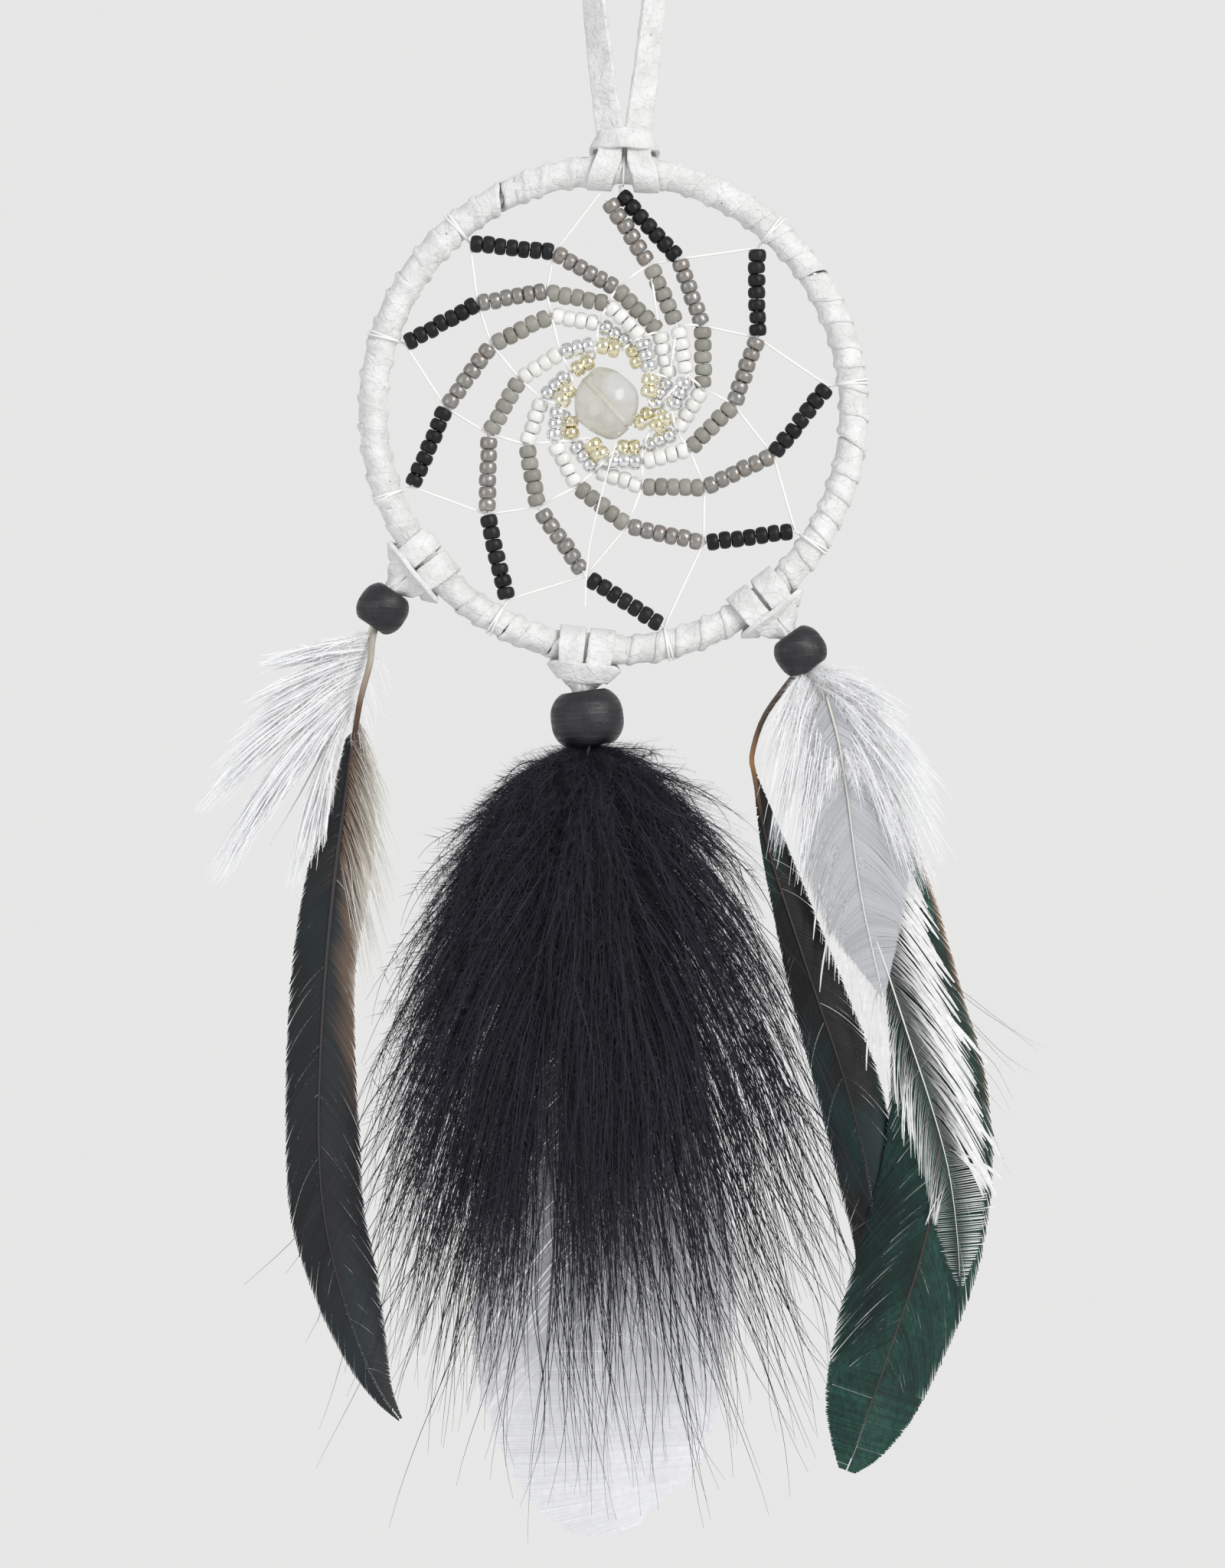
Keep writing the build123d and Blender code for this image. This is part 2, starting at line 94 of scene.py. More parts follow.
# ---- node materials -----------------------------------------------------------------------
class Paint:
    """A node material under construction; `shader` is its Principled node."""

    def __init__(self, name, **values):
        self.material = bpy.data.materials.new(name)
        self.material.use_nodes = True
        self.tree = self.material.node_tree
        self.shader = self.tree.nodes["Principled BSDF"]
        for socket, value in values.items():
            self.shader.inputs[socket.replace("_", " ")].default_value = value

    def add(self, kind, settings=None, **links):
        """A new node. A link value is a socket of another node or a plain value."""
        node = self.tree.nodes.new("ShaderNode" + kind)
        for key, value in (settings or {}).items():
            setattr(node, key, value)
        for socket, value in links.items():
            self.feed(node, int(socket[2:]) if socket.startswith("in") else socket.replace("_", " "), value)
        return node

    def feed(self, node, socket, value):
        if isinstance(value, bpy.types.NodeSocket):
            self.tree.links.new(value, node.inputs[socket])
        else:
            node.inputs[socket].default_value = value

    def place(self, scale=(1, 1, 1), turn=(0, 0, 0)):
        """Object coordinates, scaled and turned: scale is in features per metre."""
        coords = self.add("TexCoord")
        mapping = self.add("Mapping", Vector=coords.outputs["Object"])
        mapping.inputs["Scale"].default_value = scale
        mapping.inputs["Rotation"].default_value = turn
        return mapping.outputs[0]

    def noise(self, vector, scale=1.0, detail=4.0, rough=0.55):
        node = self.add("TexNoise", Vector=vector, Scale=scale, Detail=detail, Roughness=rough)
        return node.outputs["Fac"]

    def ramp(self, value, *stops):
        """stops are (position, colour); a colour may be one grey number."""
        node = self.add("ValToRGB", in0=value)
        elements = node.color_ramp.elements
        while len(elements) < len(stops):
            elements.new(1.0)
        for element, (position, colour) in zip(elements, stops):
            element.position = position
            grey = isinstance(colour, (int, float))
            element.color = (colour, colour, colour, 1) if grey else (*colour, 1)
        return node.outputs[0]

    def mix(self, factor, first, second):
        node = self.add("Mix", {"data_type": "RGBA"})
        self.feed(node, 0, factor)
        for socket, value in ((6, first), (7, second)):
            grey = isinstance(value, (int, float))
            self.feed(node, socket, (value, value, value, 1) if grey else
                      value if isinstance(value, bpy.types.NodeSocket) else (*value, 1))
        return node.outputs[2]

    def three(self, factor, low, middle, high):
        """low while factor is small, then middle, then high."""
        first = self.mix(self.ramp(factor, (0.22, 0.0), (0.45, 1.0)), low, middle)
        return self.mix(self.ramp(factor, (0.50, 0.0), (0.80, 1.0)), first, high)

    def math(self, operation, first, second=0.0):
        return self.add("Math", {"operation": operation}, in0=first, in1=second).outputs[0]

    def data(self, name):
        """A number stored on the mesh, such as how far along its feather a point is."""
        return self.add("Attribute", {"attribute_name": name}).outputs["Fac"]

    def bump(self, height, strength, distance, under=None):
        node = self.add("Bump", Height=height, Strength=strength, Distance=distance)
        if under is not None:
            self.feed(node, "Normal", under)
        self.feed(self.shader, "Normal", node.outputs[0])
        return node.outputs[0]

    def colour(self, value):
        self.feed(self.shader, "Base Color", value)

    def rough(self, value):
        self.feed(self.shader, "Roughness", value)


def suede(name):
    """White split leather: nap, grey flecks and small dark pits."""
    paint = Paint(name, Roughness=0.9, Sheen_Weight=0.25, Sheen_Roughness=0.5)
    place = paint.place()
    blotch = paint.noise(place, 260, 5, 0.6)
    fleck = paint.noise(paint.place((1500, 1500, 700)), 1.0, 6, 0.7)
    base = paint.mix(paint.ramp(blotch, (0.35, 0.0), (0.68, 1.0)), (0.72, 0.72, 0.705), (0.89, 0.89, 0.88))
    base = paint.mix(paint.ramp(fleck, (0.30, 0.5), (0.43, 0.0)), base, (0.42, 0.42, 0.40))
    cells = paint.add("TexVoronoi", Vector=place, Scale=430.0, Randomness=1.0)
    pit = paint.ramp(cells.outputs["Distance"], (0.045, 0.8), (0.11, 0.0))
    where = paint.ramp(paint.noise(place, 95, 2), (0.50, 0.0), (0.62, 1.0))
    base = paint.mix(paint.math("MULTIPLY", pit, where), base, (0.16, 0.15, 0.14))
    paint.colour(base)
    creases = paint.add("TexVoronoi", {"feature": "DISTANCE_TO_EDGE"},
                        Vector=paint.place((330, 330, 520)), Scale=1.0)
    cracks = paint.bump(paint.ramp(creases.outputs["Distance"], (0.0, 0.0), (0.08, 1.0)), 0.30, 0.0004)
    coarse = paint.bump(paint.noise(place, 330, 5, 0.62), 0.75, 0.0010, cracks)
    paint.bump(fleck, 0.35, 0.00015, coarse)
    return paint.material


def thread_paint():
    paint = Paint("waxed_thread", Roughness=0.5, Sheen_Weight=0.2)
    fuzz = paint.noise(paint.place(), 2500, 3)
    paint.colour(paint.mix(fuzz, (0.92, 0.91, 0.89), (0.99, 0.99, 0.98)))
    paint.bump(fuzz, 0.3, 0.00004)
    return paint.material


def steel_paint():
    paint = Paint("drawn_steel", Metallic=1.0)
    streak = paint.noise(paint.place(), 900, 4)
    paint.colour(paint.mix(streak, (0.45, 0.45, 0.46), (0.68, 0.68, 0.70)))
    paint.rough(paint.ramp(streak, (0.3, 0.28), (0.7, 0.45)))
    return paint.material


def bead_paint(name, dark, light, rough, grain=0.25, mottled=900.0, **values):
    """Glass seed beads: each bead has a tone of its own, over a fine uneven skin."""
    paint = Paint(name, **values)
    own = paint.add("NewGeometry").outputs["Random Per Island"]
    skin = paint.noise(paint.place(), mottled, 5, 0.65)
    tone = paint.math("ADD", paint.math("MULTIPLY", own, 0.45), paint.math("MULTIPLY", skin, 0.55))
    paint.colour(paint.mix(paint.ramp(tone, (0.25, 0.0), (0.75, 1.0)), dark, light))
    paint.rough(paint.ramp(skin, (0.3, rough * 0.8), (0.7, min(1.0, rough * 1.25))))
    paint.bump(skin, grain, 0.00008)
    return paint.material


def lustre_paint():
    """Opaque beads under a patchy metallic lustre, some of it pinkish brown."""
    paint = Paint("lustre_beads")
    own = paint.add("NewGeometry").outputs["Random Per Island"]
    place = paint.place()
    patches = paint.noise(place, 1100, 5, 0.7)
    shade = paint.mix(paint.ramp(patches, (0.35, 0.0), (0.62, 1.0)), (0.17, 0.16, 0.145),
                      (0.45, 0.43, 0.40))
    pink = paint.ramp(paint.noise(place, 420, 3), (0.48, 0.0), (0.62, 0.55))
    warm = paint.mix(pink, shade, (0.34, 0.26, 0.22))
    paint.colour(paint.mix(paint.math("MULTIPLY", own, 0.35), warm, (0.30, 0.30, 0.29)))
    paint.feed(paint.shader, "Metallic", paint.ramp(patches, (0.40, 0.15), (0.60, 0.75)))
    paint.rough(paint.ramp(patches, (0.35, 0.24), (0.70, 0.42)))
    paint.bump(patches, 0.2, 0.00006)
    return paint.material


def wood_paint(name, turn_degrees):
    """Black-stained wood with its grain along the bead's hole."""
    paint = Paint(name, Specular_IOR_Level=0.6)
    turn = (0, math.radians(turn_degrees), 0)
    pores = paint.noise(paint.place((1300, 1300, 240), turn), 1.0, 6, 0.7)
    rings = paint.noise(paint.place((130, 130, 1500), turn), 1.0, 4, 0.6)
    stain = paint.mix(paint.ramp(pores, (0.35, 0.0), (0.70, 1.0)), (0.002, 0.002, 0.003),
                      (0.016, 0.013, 0.019))
    paint.colour(paint.mix(paint.ramp(rings, (0.45, 0.0), (0.75, 0.5)), stain, (0.030, 0.024, 0.030)))
    paint.rough(paint.ramp(rings, (0.38, 0.50), (0.60, 0.20)))
    grain = paint.bump(pores, 0.8, 0.00022)
    paint.bump(rings, 0.35, 0.0004, grain)
    return paint.material


def stone_paint():
    """Milky stone: a painted highlight, a near-white lobe at the upper right; the rest a cloudy beige."""
    paint = Paint("milky_stone", Roughness=0.14, IOR=1.22, Transmission_Weight=0.72, Coat_Weight=0.3)
    place = paint.place()
    cloud = paint.noise(place, 210, 5, 0.6)
    # painted highlight: distance from a point at the stone's upper right, towards the front, where the key light falls
    highlight_distance = paint.add("VectorMath", {"operation": "DISTANCE"}, in0=place)
    highlight_distance.inputs[1].default_value = at(1.6, 4.0, -1.5)
    waver = paint.math("MULTIPLY", paint.math("SUBTRACT", cloud, 0.5), 0.003)
    edge = paint.math("ADD", highlight_distance.outputs["Value"], waver)
    # painted highlight: near white within about 2.7 mm of that point, gone by 4 mm
    painted_highlight = paint.ramp(paint.math("MULTIPLY", edge, 100.0), (0.27, 1.0), (0.40, 0.0))
    beige = paint.mix(paint.ramp(cloud, (0.38, 0.0), (0.62, 1.0)), (0.76, 0.74, 0.66), (0.92, 0.90, 0.83))
    paint.colour(paint.mix(painted_highlight, beige, (0.98, 0.99, 1.0)))
    paint.bump(paint.noise(place, 160, 3), 0.3, 0.0006)
    return paint.material


def channel_paint():
    """The frosted wall of the drilled hole, seen through the stone."""
    paint = Paint("frosted_hole", Roughness=0.6)
    paint.colour(paint.mix(paint.noise(paint.place(), 900, 3), (0.75, 0.74, 0.68), (0.90, 0.90, 0.87)))
    return paint.material


# ---- mesh tools ---------------------------------------------------------------------------
def new_piece(name, verts, quads=None, tris=None, material=None, uv=None, data=None):
    """A mesh object from arrays; quads and tris index verts, data holds one number per vertex."""
    mesh = bpy.data.meshes.new(name)
    quads = np.zeros((0, 4), int) if quads is None else np.asarray(quads, int)
    tris = np.zeros((0, 3), int) if tris is None else np.asarray(tris, int)
    corners = np.concatenate([quads.ravel(), tris.ravel()]).astype(np.int32)
    quad_starts = np.arange(len(quads)) * 4
    tri_starts = len(quads) * 4 + np.arange(len(tris)) * 3
    mesh.vertices.add(len(verts))
    mesh.vertices.foreach_set("co", np.asarray(verts, np.float32).ravel())
    mesh.loops.add(len(corners))
    mesh.loops.foreach_set("vertex_index", corners)
    mesh.polygons.add(len(quads) + len(tris))
    mesh.polygons.foreach_set("loop_start", np.concatenate([quad_starts, tri_starts]).astype(np.int32))
    mesh.update(calc_edges=True)
    if uv is not None:
        layer = mesh.uv_layers.new(name="OFBake")
        layer.uv.foreach_set("vector", np.asarray(uv, np.float32)[corners].ravel())
    for key, values in (data or {}).items():
        mesh.attributes.new(key, "FLOAT", "POINT").data.foreach_set("value", np.asarray(values, np.float32))
    mesh.polygons.foreach_set("use_smooth", np.ones(len(mesh.polygons), bool))
    mesh.validate()
    piece = bpy.data.objects.new(name, mesh)
    bpy.context.scene.collection.objects.link(piece)
    if material:
        mesh.materials.append(material)
    return piece


def settle(piece, body, slot, *nodes):
    """The body that a piece rides on and the CAD nodes that it stands for; slot, its material slot, is not used."""
    if nodes:
        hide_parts(*nodes)
    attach(piece, body)


def smooth_line(points, count):
    """count points, evenly parameterised, on a Catmull-Rom curve through rows of any width."""
    rows = np.asarray(points, float)
    padded = np.vstack([2 * rows[0] - rows[1], rows, 2 * rows[-1] - rows[-2]])
    place = np.linspace(0, len(rows) - 1 - 1e-9, count)
    start = place.astype(int)
    t = (place - start)[:, None]
    a, b, c, d = (padded[start + i] for i in range(4))
    return 0.5 * (2 * b + (c - a) * t + (2 * a - 5 * b + 4 * c - d) * t**2 + (3 * b - a - 3 * c + d) * t**3)


def unit(vectors):
    return vectors / np.maximum(np.linalg.norm(vectors, axis=-1, keepdims=True), 1e-12)


def tangents(path):
    return unit(np.gradient(path, axis=0))


def grid_quads(rows, columns, closed=False):
    """Quads over a rows x columns grid of vertices; closed joins the last column to the first."""
    r, c = np.meshgrid(np.arange(rows - 1), np.arange(columns - (0 if closed else 1)), indexing="ij")
    after = (c + 1) % columns
    return np.stack([r * columns + c, r * columns + after, (r + 1) * columns + after,
                     (r + 1) * columns + c], axis=-1).reshape(-1, 4)


def end_caps(rows, columns):
    """Triangle fans over the first and last ring of a closed tube's grid."""
    first = [(0, i + 1, i) for i in range(1, columns - 1)]
    last = (rows - 1) * columns
    return np.array(first + [(last, last + i, last + i + 1) for i in range(1, columns - 1)])


def tube(path, radii, sides=10):
    """Vertices, quads and tris of a round tube along a path, its ends closed."""
    path = np.asarray(path, float)
    along = tangents(path)
    side = np.cross(along, (0, 1, 0))
    weak = np.linalg.norm(side, axis=1) < 0.05
    side[weak] = np.cross(along[weak], (1, 0, 0))
    side = unit(side)
    up = np.cross(along, side)
    turn = np.linspace(0, 2 * np.pi, sides, endpoint=False)
    radii = np.broadcast_to(np.asarray(radii, float), (len(path),))[:, None, None]
    ring = np.cos(turn)[None, :, None] * side[:, None] + np.sin(turn)[None, :, None] * up[:, None]
    verts = (path[:, None] + radii * ring).reshape(-1, 3)
    return verts, grid_quads(len(path), sides, True), end_caps(len(path), sides)


def join_parts(parts):
    """One set of arrays from several (verts, quads, tris)."""
    verts, quads, tris, start = [], [], [], 0
    for v, q, t in parts:
        verts.append(v)
        quads.append(q + start)
        tris.append(t + start)
        start += len(v)
    return np.vstack(verts), np.vstack(quads), np.vstack(tris)


def from_mm(verts):
    """Millimetres from the hoop's centre to metres in the frame."""
    return np.asarray(verts) * MM + np.array(CENTRE)


def solid_from_mm(verts, quads, tris):
    return from_mm(verts), quads, tris


# ---- routes of the free cords, as in the CAD, in metres -----------------------------------
def route_curve(name, points):
    """A smooth open NURBS curve with the route's points as its control points."""
    curve = bpy.data.curves.new(name, "CURVE")
    curve.dimensions = "3D"
    curve.resolution_u = 16
    spline = curve.splines.new("NURBS")
    spline.points.add(len(points) - 1)
    for control, point in zip(spline.points, points):
        control.co = (*point, 1)
    spline.order_u = 3
    spline.use_endpoint_u = True
    obj = bpy.data.objects.new(name, curve)
    bpy.context.scene.collection.objects.link(obj)
    return obj


def route_path(name, points):
    """The points of that curve, read from it."""
    obj = route_curve(name + "_route", points)
    bpy.context.view_layer.update()
    mesh = bpy.data.meshes.new_from_object(obj)
    path = np.array([v.co for v in mesh.vertices])
    bpy.data.objects.remove(obj)
    return path


# ---- suede lace ---------------------------------------------------------------------------
LACE_W = 5.0
LACE_T = 1.1
LACE_SECTION = [    # (across, outward) as shares of half the width and half the thickness
    (-1, -0.55), (-0.97, -0.9), (-0.85, -1), (-0.45, -1), (0, -1), (0.45, -1), (0.85, -1), (0.97, -0.9),
    (1, -0.55), (1, 0.55), (0.97, 0.9), (0.85, 1), (0.45, 1), (0, 1), (-0.45, 1), (-0.85, 1),
    (-0.97, 0.9), (-1, 0.55)]
SUEDE = suede("white_suede")
THREAD = thread_paint()


def ripple(points, size, scale, seed):
    """Smooth pseudo-random numbers, -1 to 1 times size, at points given in millimetres."""
    rng = np.random.default_rng(seed)
    total = np.zeros(len(points))
    for octave in range(4):
        waves = rng.normal(size=(3, 3)) * scale * 1.9**octave
        phases = rng.uniform(0, 6.28, 3)
        total += sum(np.sin(points @ wave + phase) for wave, phase in zip(waves, phases)) * 0.62**octave
    return size * total / 3.5


def lace_solid(path, faces, widths=LACE_W, thickness=LACE_T, seed=1, fuzz=0.07):
    """A flat lace in millimetres: path rows, and the direction that its outer face looks at each."""
    path = np.asarray(path, float)
    along = tangents(path)
    out = unit(faces - along * np.sum(faces * along, axis=1, keepdims=True))
    across = np.cross(along, out)
    widths = np.broadcast_to(np.asarray(widths, float), (len(path),))
    section = np.array(LACE_SECTION)
    offsets = (across[:, None] * (section[None, :, :1] * widths[:, None, None] / 2)
               + out[:, None] * (section[None, :, 1:] * thickness / 2))
    verts = (path[:, None] + offsets).reshape(-1, 3)
    normals = unit(offsets.reshape(-1, 3))
    verts = verts + normals * ripple(verts, fuzz, 0.9, seed)[:, None]
    columns = len(section)
    return verts, grid_quads(len(path), columns, True), end_caps(len(path), columns)


# ---- hanging loop: its two legs are cords, pulled straight ---------------------------------
TOP_HITCH = 87.5            # where the top hitch is on the hoop, in degrees from the viewer's right
HITCH_X = HOOP_R * math.cos(math.radians(TOP_HITCH))
LEG_LEFT = [(-2.5, 50.4), (-5.4, 72.0), (-6.8, 93.0), (-4.7, 108.6), (-2.4, 119.5)]
LEG_RIGHT = [(2.5, 50.4), (5.6, 72.0), (6.5, 94.0), (4.4, 109.2), (2.4, 119.5)]
LEG_TURN = (50.4, 84.0), (20.0, 50.0)   # heights, and how far each leg's inner edge is turned forward
LEG_HIDDEN = 4.5                        # the length of a leg that is inside the hitch


def lace_leg(name, route, side, seed):
    path = route_path(name, [at(HITCH_X + x, z) for x, z in route])
    centre = np.array(CENTRE)
    path_mm = smooth_line((path - centre) / MM, 70)
    foot = path_mm[0] - tangents(path_mm)[0] * LEG_HIDDEN
    line = smooth_line([foot, path_mm[0] * 0.5 + foot * 0.5] + list(path_mm[::3]) + [path_mm[-1]], 90)
    turn = np.radians(np.interp(line[:, 2], *LEG_TURN))
    faces = np.stack([side * np.sin(turn), -np.cos(turn), 0 * turn], 1)
    verts, quads, tris = lace_solid(line, faces, seed=seed, fuzz=0.11)
    leg = new_piece(name + "_leg", from_mm(verts), quads, tris, SUEDE)
    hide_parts(name)
    return leg, path


def overhand_knot():
    """The knot above the hook, out of the picture: two laces tied as one, and their ends."""
    top = np.array([HITCH_X, 0, 122.2])
    parts = []
    for layer, lift in enumerate((0.0, 1.15)):
        turn = np.linspace(-0.25, 2 * np.pi + 0.55, 60)
        ring = np.stack([(3.9 + lift) * np.cos(turn), (2.6 + lift) * np.sin(turn), 1.5 * np.sin(turn * 0.5)
                         - 1.0 + 0.35 * turn], axis=1)
        out = np.stack([np.cos(turn), np.sin(turn), 0.15 * np.ones_like(turn)], axis=1)
        parts.append(lace_solid(top + ring, out, 4.4, seed=31 + layer))
    for side in (-1, 1):
        line = smooth_line([(side * 2.4, 0, -4.2), (side * 1.4, 0.4, 0.5), (side * 1.2, 0.2, 4.5),
                            (side * 3.2, -0.6, 10.5), (side * 4.6, 0.5, 16.2)], 40)
        out = np.tile([side * 0.7, -0.7, 0.1], (len(line), 1))
        parts.append(lace_solid(top + line, out, 4.6, seed=41 + side))
    knot = new_piece("hang_knot_tied", *solid_from_mm(*join_parts(parts)), SUEDE)
    settle(knot, "hanging_loop", "suede", "hang_knot")
    return knot


def make_hanging_loop():
    knot = overhand_knot()
    legs = ("hang_lace_left", LEG_LEFT, -1, 5), ("hang_lace_right", LEG_RIGHT, 1, 6)
    for name, route, side, seed in legs:
        leg, path = lace_leg(name, route, side, seed)
        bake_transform(leg)


make_hanging_loop()

THREAD_TAIL = [(0.5, -6.2), (-1.5, -12.8), (-3.3, -19.8), (-4.9, -27.4), (-5.1, -35.6)]
THREAD_TAIL_Y = -3.3
THREAD_TAIL_R = 0.15


def make_thread_tail():
    tail = route_curve("thread_tail_end", [at(x, z, THREAD_TAIL_Y) for x, z in THREAD_TAIL])
    tail.data.bevel_depth = THREAD_TAIL_R * MM
    tail.data.bevel_resolution = 3
    tail.data.materials.append(THREAD)
    settle(tail, "hoop", "thread", "thread_tail")


make_thread_tail()


# ---- hoop wrap: one lace wound round the wire, each turn lapping the last ------------------
WRAP_TURNS = 60
STEPS_PER_TURN = 30
WRAP_START = 96             # degrees round the hoop where the winding starts
LAP = 1.1                   # millimetres that a turn lies on the one before
LAP_RISE = 0.70             # how far the lace climbs onto the turn before
WRAP_SKIN = 1.0             # the lace's thickness


def make_wrap():
    steps = WRAP_TURNS * STEPS_PER_TURN
    phase = np.linspace(0, WRAP_TURNS, steps, endpoint=True)
    pitch = 2 * np.pi * HOOP_R / WRAP_TURNS
    width = pitch + LAP
    phase_rows = np.stack([phase, phase * 0, phase * 0], 1)
    uneven = ripple(phase_rows, 1.1, 1.5, 3)
    wide = 1 + ripple(phase_rows, 0.16, 1.9, 4)
    hoop_turn = 2 * np.pi * phase / WRAP_TURNS + uneven / HOOP_R + math.radians(WRAP_START)
    tube_turn = -2 * np.pi * phase
    # across the lace: 0 is the edge laid on the turn before, 1 the edge that the next turn covers
    top = [0.0, 0.01, 0.05, 0.12, 0.2, 0.3, 0.42, 0.56, 0.7, 0.85, 1.0]
    section = np.array([(0.0, 0.35)] + [(q, 1.0) for q in top] + [(1.0, 0.0), (0.3, 0.0), (0.1, 0.0)])
    q, level = section.T
    rise = np.clip((0.34 - q) / 0.22, 0, 1)
    rise = rise * rise * (3 - 2 * rise)
    base = WIRE_R + 0.05 + LAP_RISE * rise
    skin = WRAP_SKIN - 0.30 * rise
    rounded = np.where((q < 0.03) & (level == 1.0), -0.12, 0.0)
    radius = base + skin * level + rounded
    a = hoop_turn[:, None] + (q[None] - 0.5) * (width * wide)[:, None] / HOOP_R
    r = np.broadcast_to(radius, a.shape)
    flat_points = np.stack([HOOP_R * np.cos(a), HOOP_R * np.sin(a), 3 * np.sin(tube_turn)[:, None]
                            * np.ones_like(a)], -1).reshape(-1, 3)
    bumps = ripple(flat_points, 0.13, 1.1, 8) + ripple(flat_points, 0.05, 4.5, 9)
    r = r + bumps.reshape(a.shape) * (level > 0.5)
    ring = HOOP_R + r * np.cos(tube_turn)[:, None]
    verts = np.stack([ring * np.cos(a), r * np.sin(tube_turn)[:, None], ring * np.sin(a)], -1)
    verts = verts.reshape(-1, 3)
    columns = len(section)
    wrap = new_piece("hoop_wrap_lace", from_mm(verts), grid_quads(steps, columns, True),
                     end_caps(steps, columns), SUEDE)
    settle(wrap, "hoop", "suede", "hoop_wrap")


make_wrap()


# ---- hitches: one lace drawn round the hoop, its bight across the front --------------------
class HitchFrame:
    """t runs along the hoop, w outward from its wire, y to the back; millimetres."""

    def __init__(self, degrees):
        self.origin = np.array([HOOP_R * math.cos(math.radians(degrees)), 0,
                                HOOP_R * math.sin(math.radians(degrees))])
        self.t = np.array(heading(degrees - 90))
        self.w = np.array(heading(degrees))

    def point(self, t, w, y):
        return self.origin + self.t * t + self.w * w + np.array([0, y, 0])

    def turn(self, t, w, y):
        return self.t * t + self.w * w + np.array([0, y, 0])


def hitch_lace(degrees, splay, tails, bar, seed):
    """Half of the lace, then its mirror image: tail, up the front, over the hoop, down its back, round
    the side and across the front as the bar. splay is (t outside, t inside) of a turn's middle."""
    place = HitchFrame(degrees)
    outer, inner = splay
    mean = (outer + inner) / 2
    half = [    # t, w, y of the lace's middle; t, w, y that its outer face looks; its width
        *tails,
        (outer - 0.1, 3.2, -2.9, 0, 0.25, -1, 4.3),
        (outer, 2.0, -3.35, 0, 0.2, -1, 4.5),
        (mean, 0.0, -3.5, 0, 0, -1, 4.6),
        (inner - 0.1, -2.0, -3.0, 0, -0.5, -0.85, 4.6),
        (inner, -3.2, -1.6, 0, -0.9, -0.4, 4.6),
        (inner, -3.45, 0.4, 0, -1, 0.1, 4.6),
        (inner - 0.1, -2.6, 2.4, 0, -0.7, 0.7, 4.6),
        (mean, 0.0, 3.55, 0, 0, 1, 4.6),
        *bar[:-1],
    ]
    mirrored = [(-t, w, y, -ft, fw, fy, wide) for t, w, y, ft, fw, fy, wide in half[::-1]]
    rows = np.array(half + [bar[-1]] + mirrored, float)
    line = smooth_line(rows, 190)
    path = np.array([place.point(*row[:3]) for row in line])
    faces = np.array([place.turn(*row[3:6]) for row in line])
    return lace_solid(path, faces, line[:, 6], 1.0, seed=seed, fuzz=0.11)


# rows of a hitch's tail and of its bar, in the order that hitch_lace gives
SMALL_TAILS = [(0.75, 9.2, -0.4, 1, 0, -0.2, 2.6), (1.0, 7.4, -0.9, 0.9, 0, -0.5, 3.2),
               (1.9, 5.2, -1.8, 0.35, 0.2, -1, 4.0)]
TOP_TAILS = [(2.4, 7.6, -0.2, 0.35, 0, -0.94, 4.9), (2.4, 6.2, -0.6, 0.35, 0, -0.94, 4.9),
             (2.5, 4.7, -1.9, 0.3, 0.1, -1, 4.7)]
TOP_BAR = [(3.9, 2.5, 3.3, 0.2, 0.3, 1, 4.2), (4.9, 4.2, 2.4, 0.7, 0.4, 0.6, 3.7),
           (5.2, 5.0, 0.2, 0.85, 0.45, -0.1, 3.5), (4.5, 5.2, -2.2, 0.6, 0.3, -0.75, 3.5),
           (2.4, 5.35, -3.5, 0.2, 0.2, -1, 3.6), (0, 5.6, -3.9, 0, 0.15, -1, 3.7)]
SIDE_BAR = [(3.4, 2.5, 3.3, 0.2, 0.3, 1, 4.0), (4.9, 3.5, 2.1, 0.6, 0.6, 0.5, 3.4),
            (5.7, 3.8, 0.0, 0.6, 0.75, -0.2, 3.0), (5.2, 3.75, -1.7, 0.4, 0.85, -0.35, 3.2),
            (3.0, 3.8, -2.5, 0.08, 0.88, -0.5, 3.8), (0, 4.0, -2.7, 0, 0.85, -0.5, 4.0)]
CENTRE_BAR = [(3.4, 2.5, 3.3, 0.2, 0.3, 1, 4.2), (4.9, 4.0, 2.2, 0.6, 0.5, 0.6, 3.9),
              (5.4, 4.3, -0.1, 0.7, 0.65, -0.2, 3.3), (4.8, 4.2, -2.0, 0.45, 0.5, -0.7, 3.4),
              (2.6, 4.3, -3.1, 0.1, 0.5, -0.9, 3.8), (0, 4.5, -3.4, 0, 0.45, -0.9, 3.8)]


def make_hitch(name, degrees, splay, tails, bar, seed, body, dropper=None):
    """dropper is (body, swing joint, node of the lace's ends) for a hitch whose ends hang from a dropper; its body and
    swing joint are not used, only its node is hidden, and such a hitch is not attached to a body.
    """
    hitch = new_piece(name + "_lace", *solid_from_mm(*hitch_lace(degrees, splay, tails, bar, seed)), SUEDE)
    if dropper:
        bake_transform(hitch)
        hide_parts(name, dropper[2])
    else:
        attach(hitch, body)
        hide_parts(name)


def make_hitches():
    make_hitch("hang_hitch", TOP_HITCH, (2.7, 4.3), TOP_TAILS, TOP_BAR, 11, "hang_hitch")
    for side, degrees, bar, seed in (("left", 219.0, SIDE_BAR, 12), ("centre", 263.5, CENTRE_BAR, 13),
                                     ("right", 308.0, SIDE_BAR, 14)):
        make_hitch(f"{side}_hitch", degrees, (2.5, 2.75), SMALL_TAILS, bar, seed, f"{side}_hitch",
                   (f"{side}_dropper", f"{side}_swing", f"{side}_lace_ends"))


make_hitches()


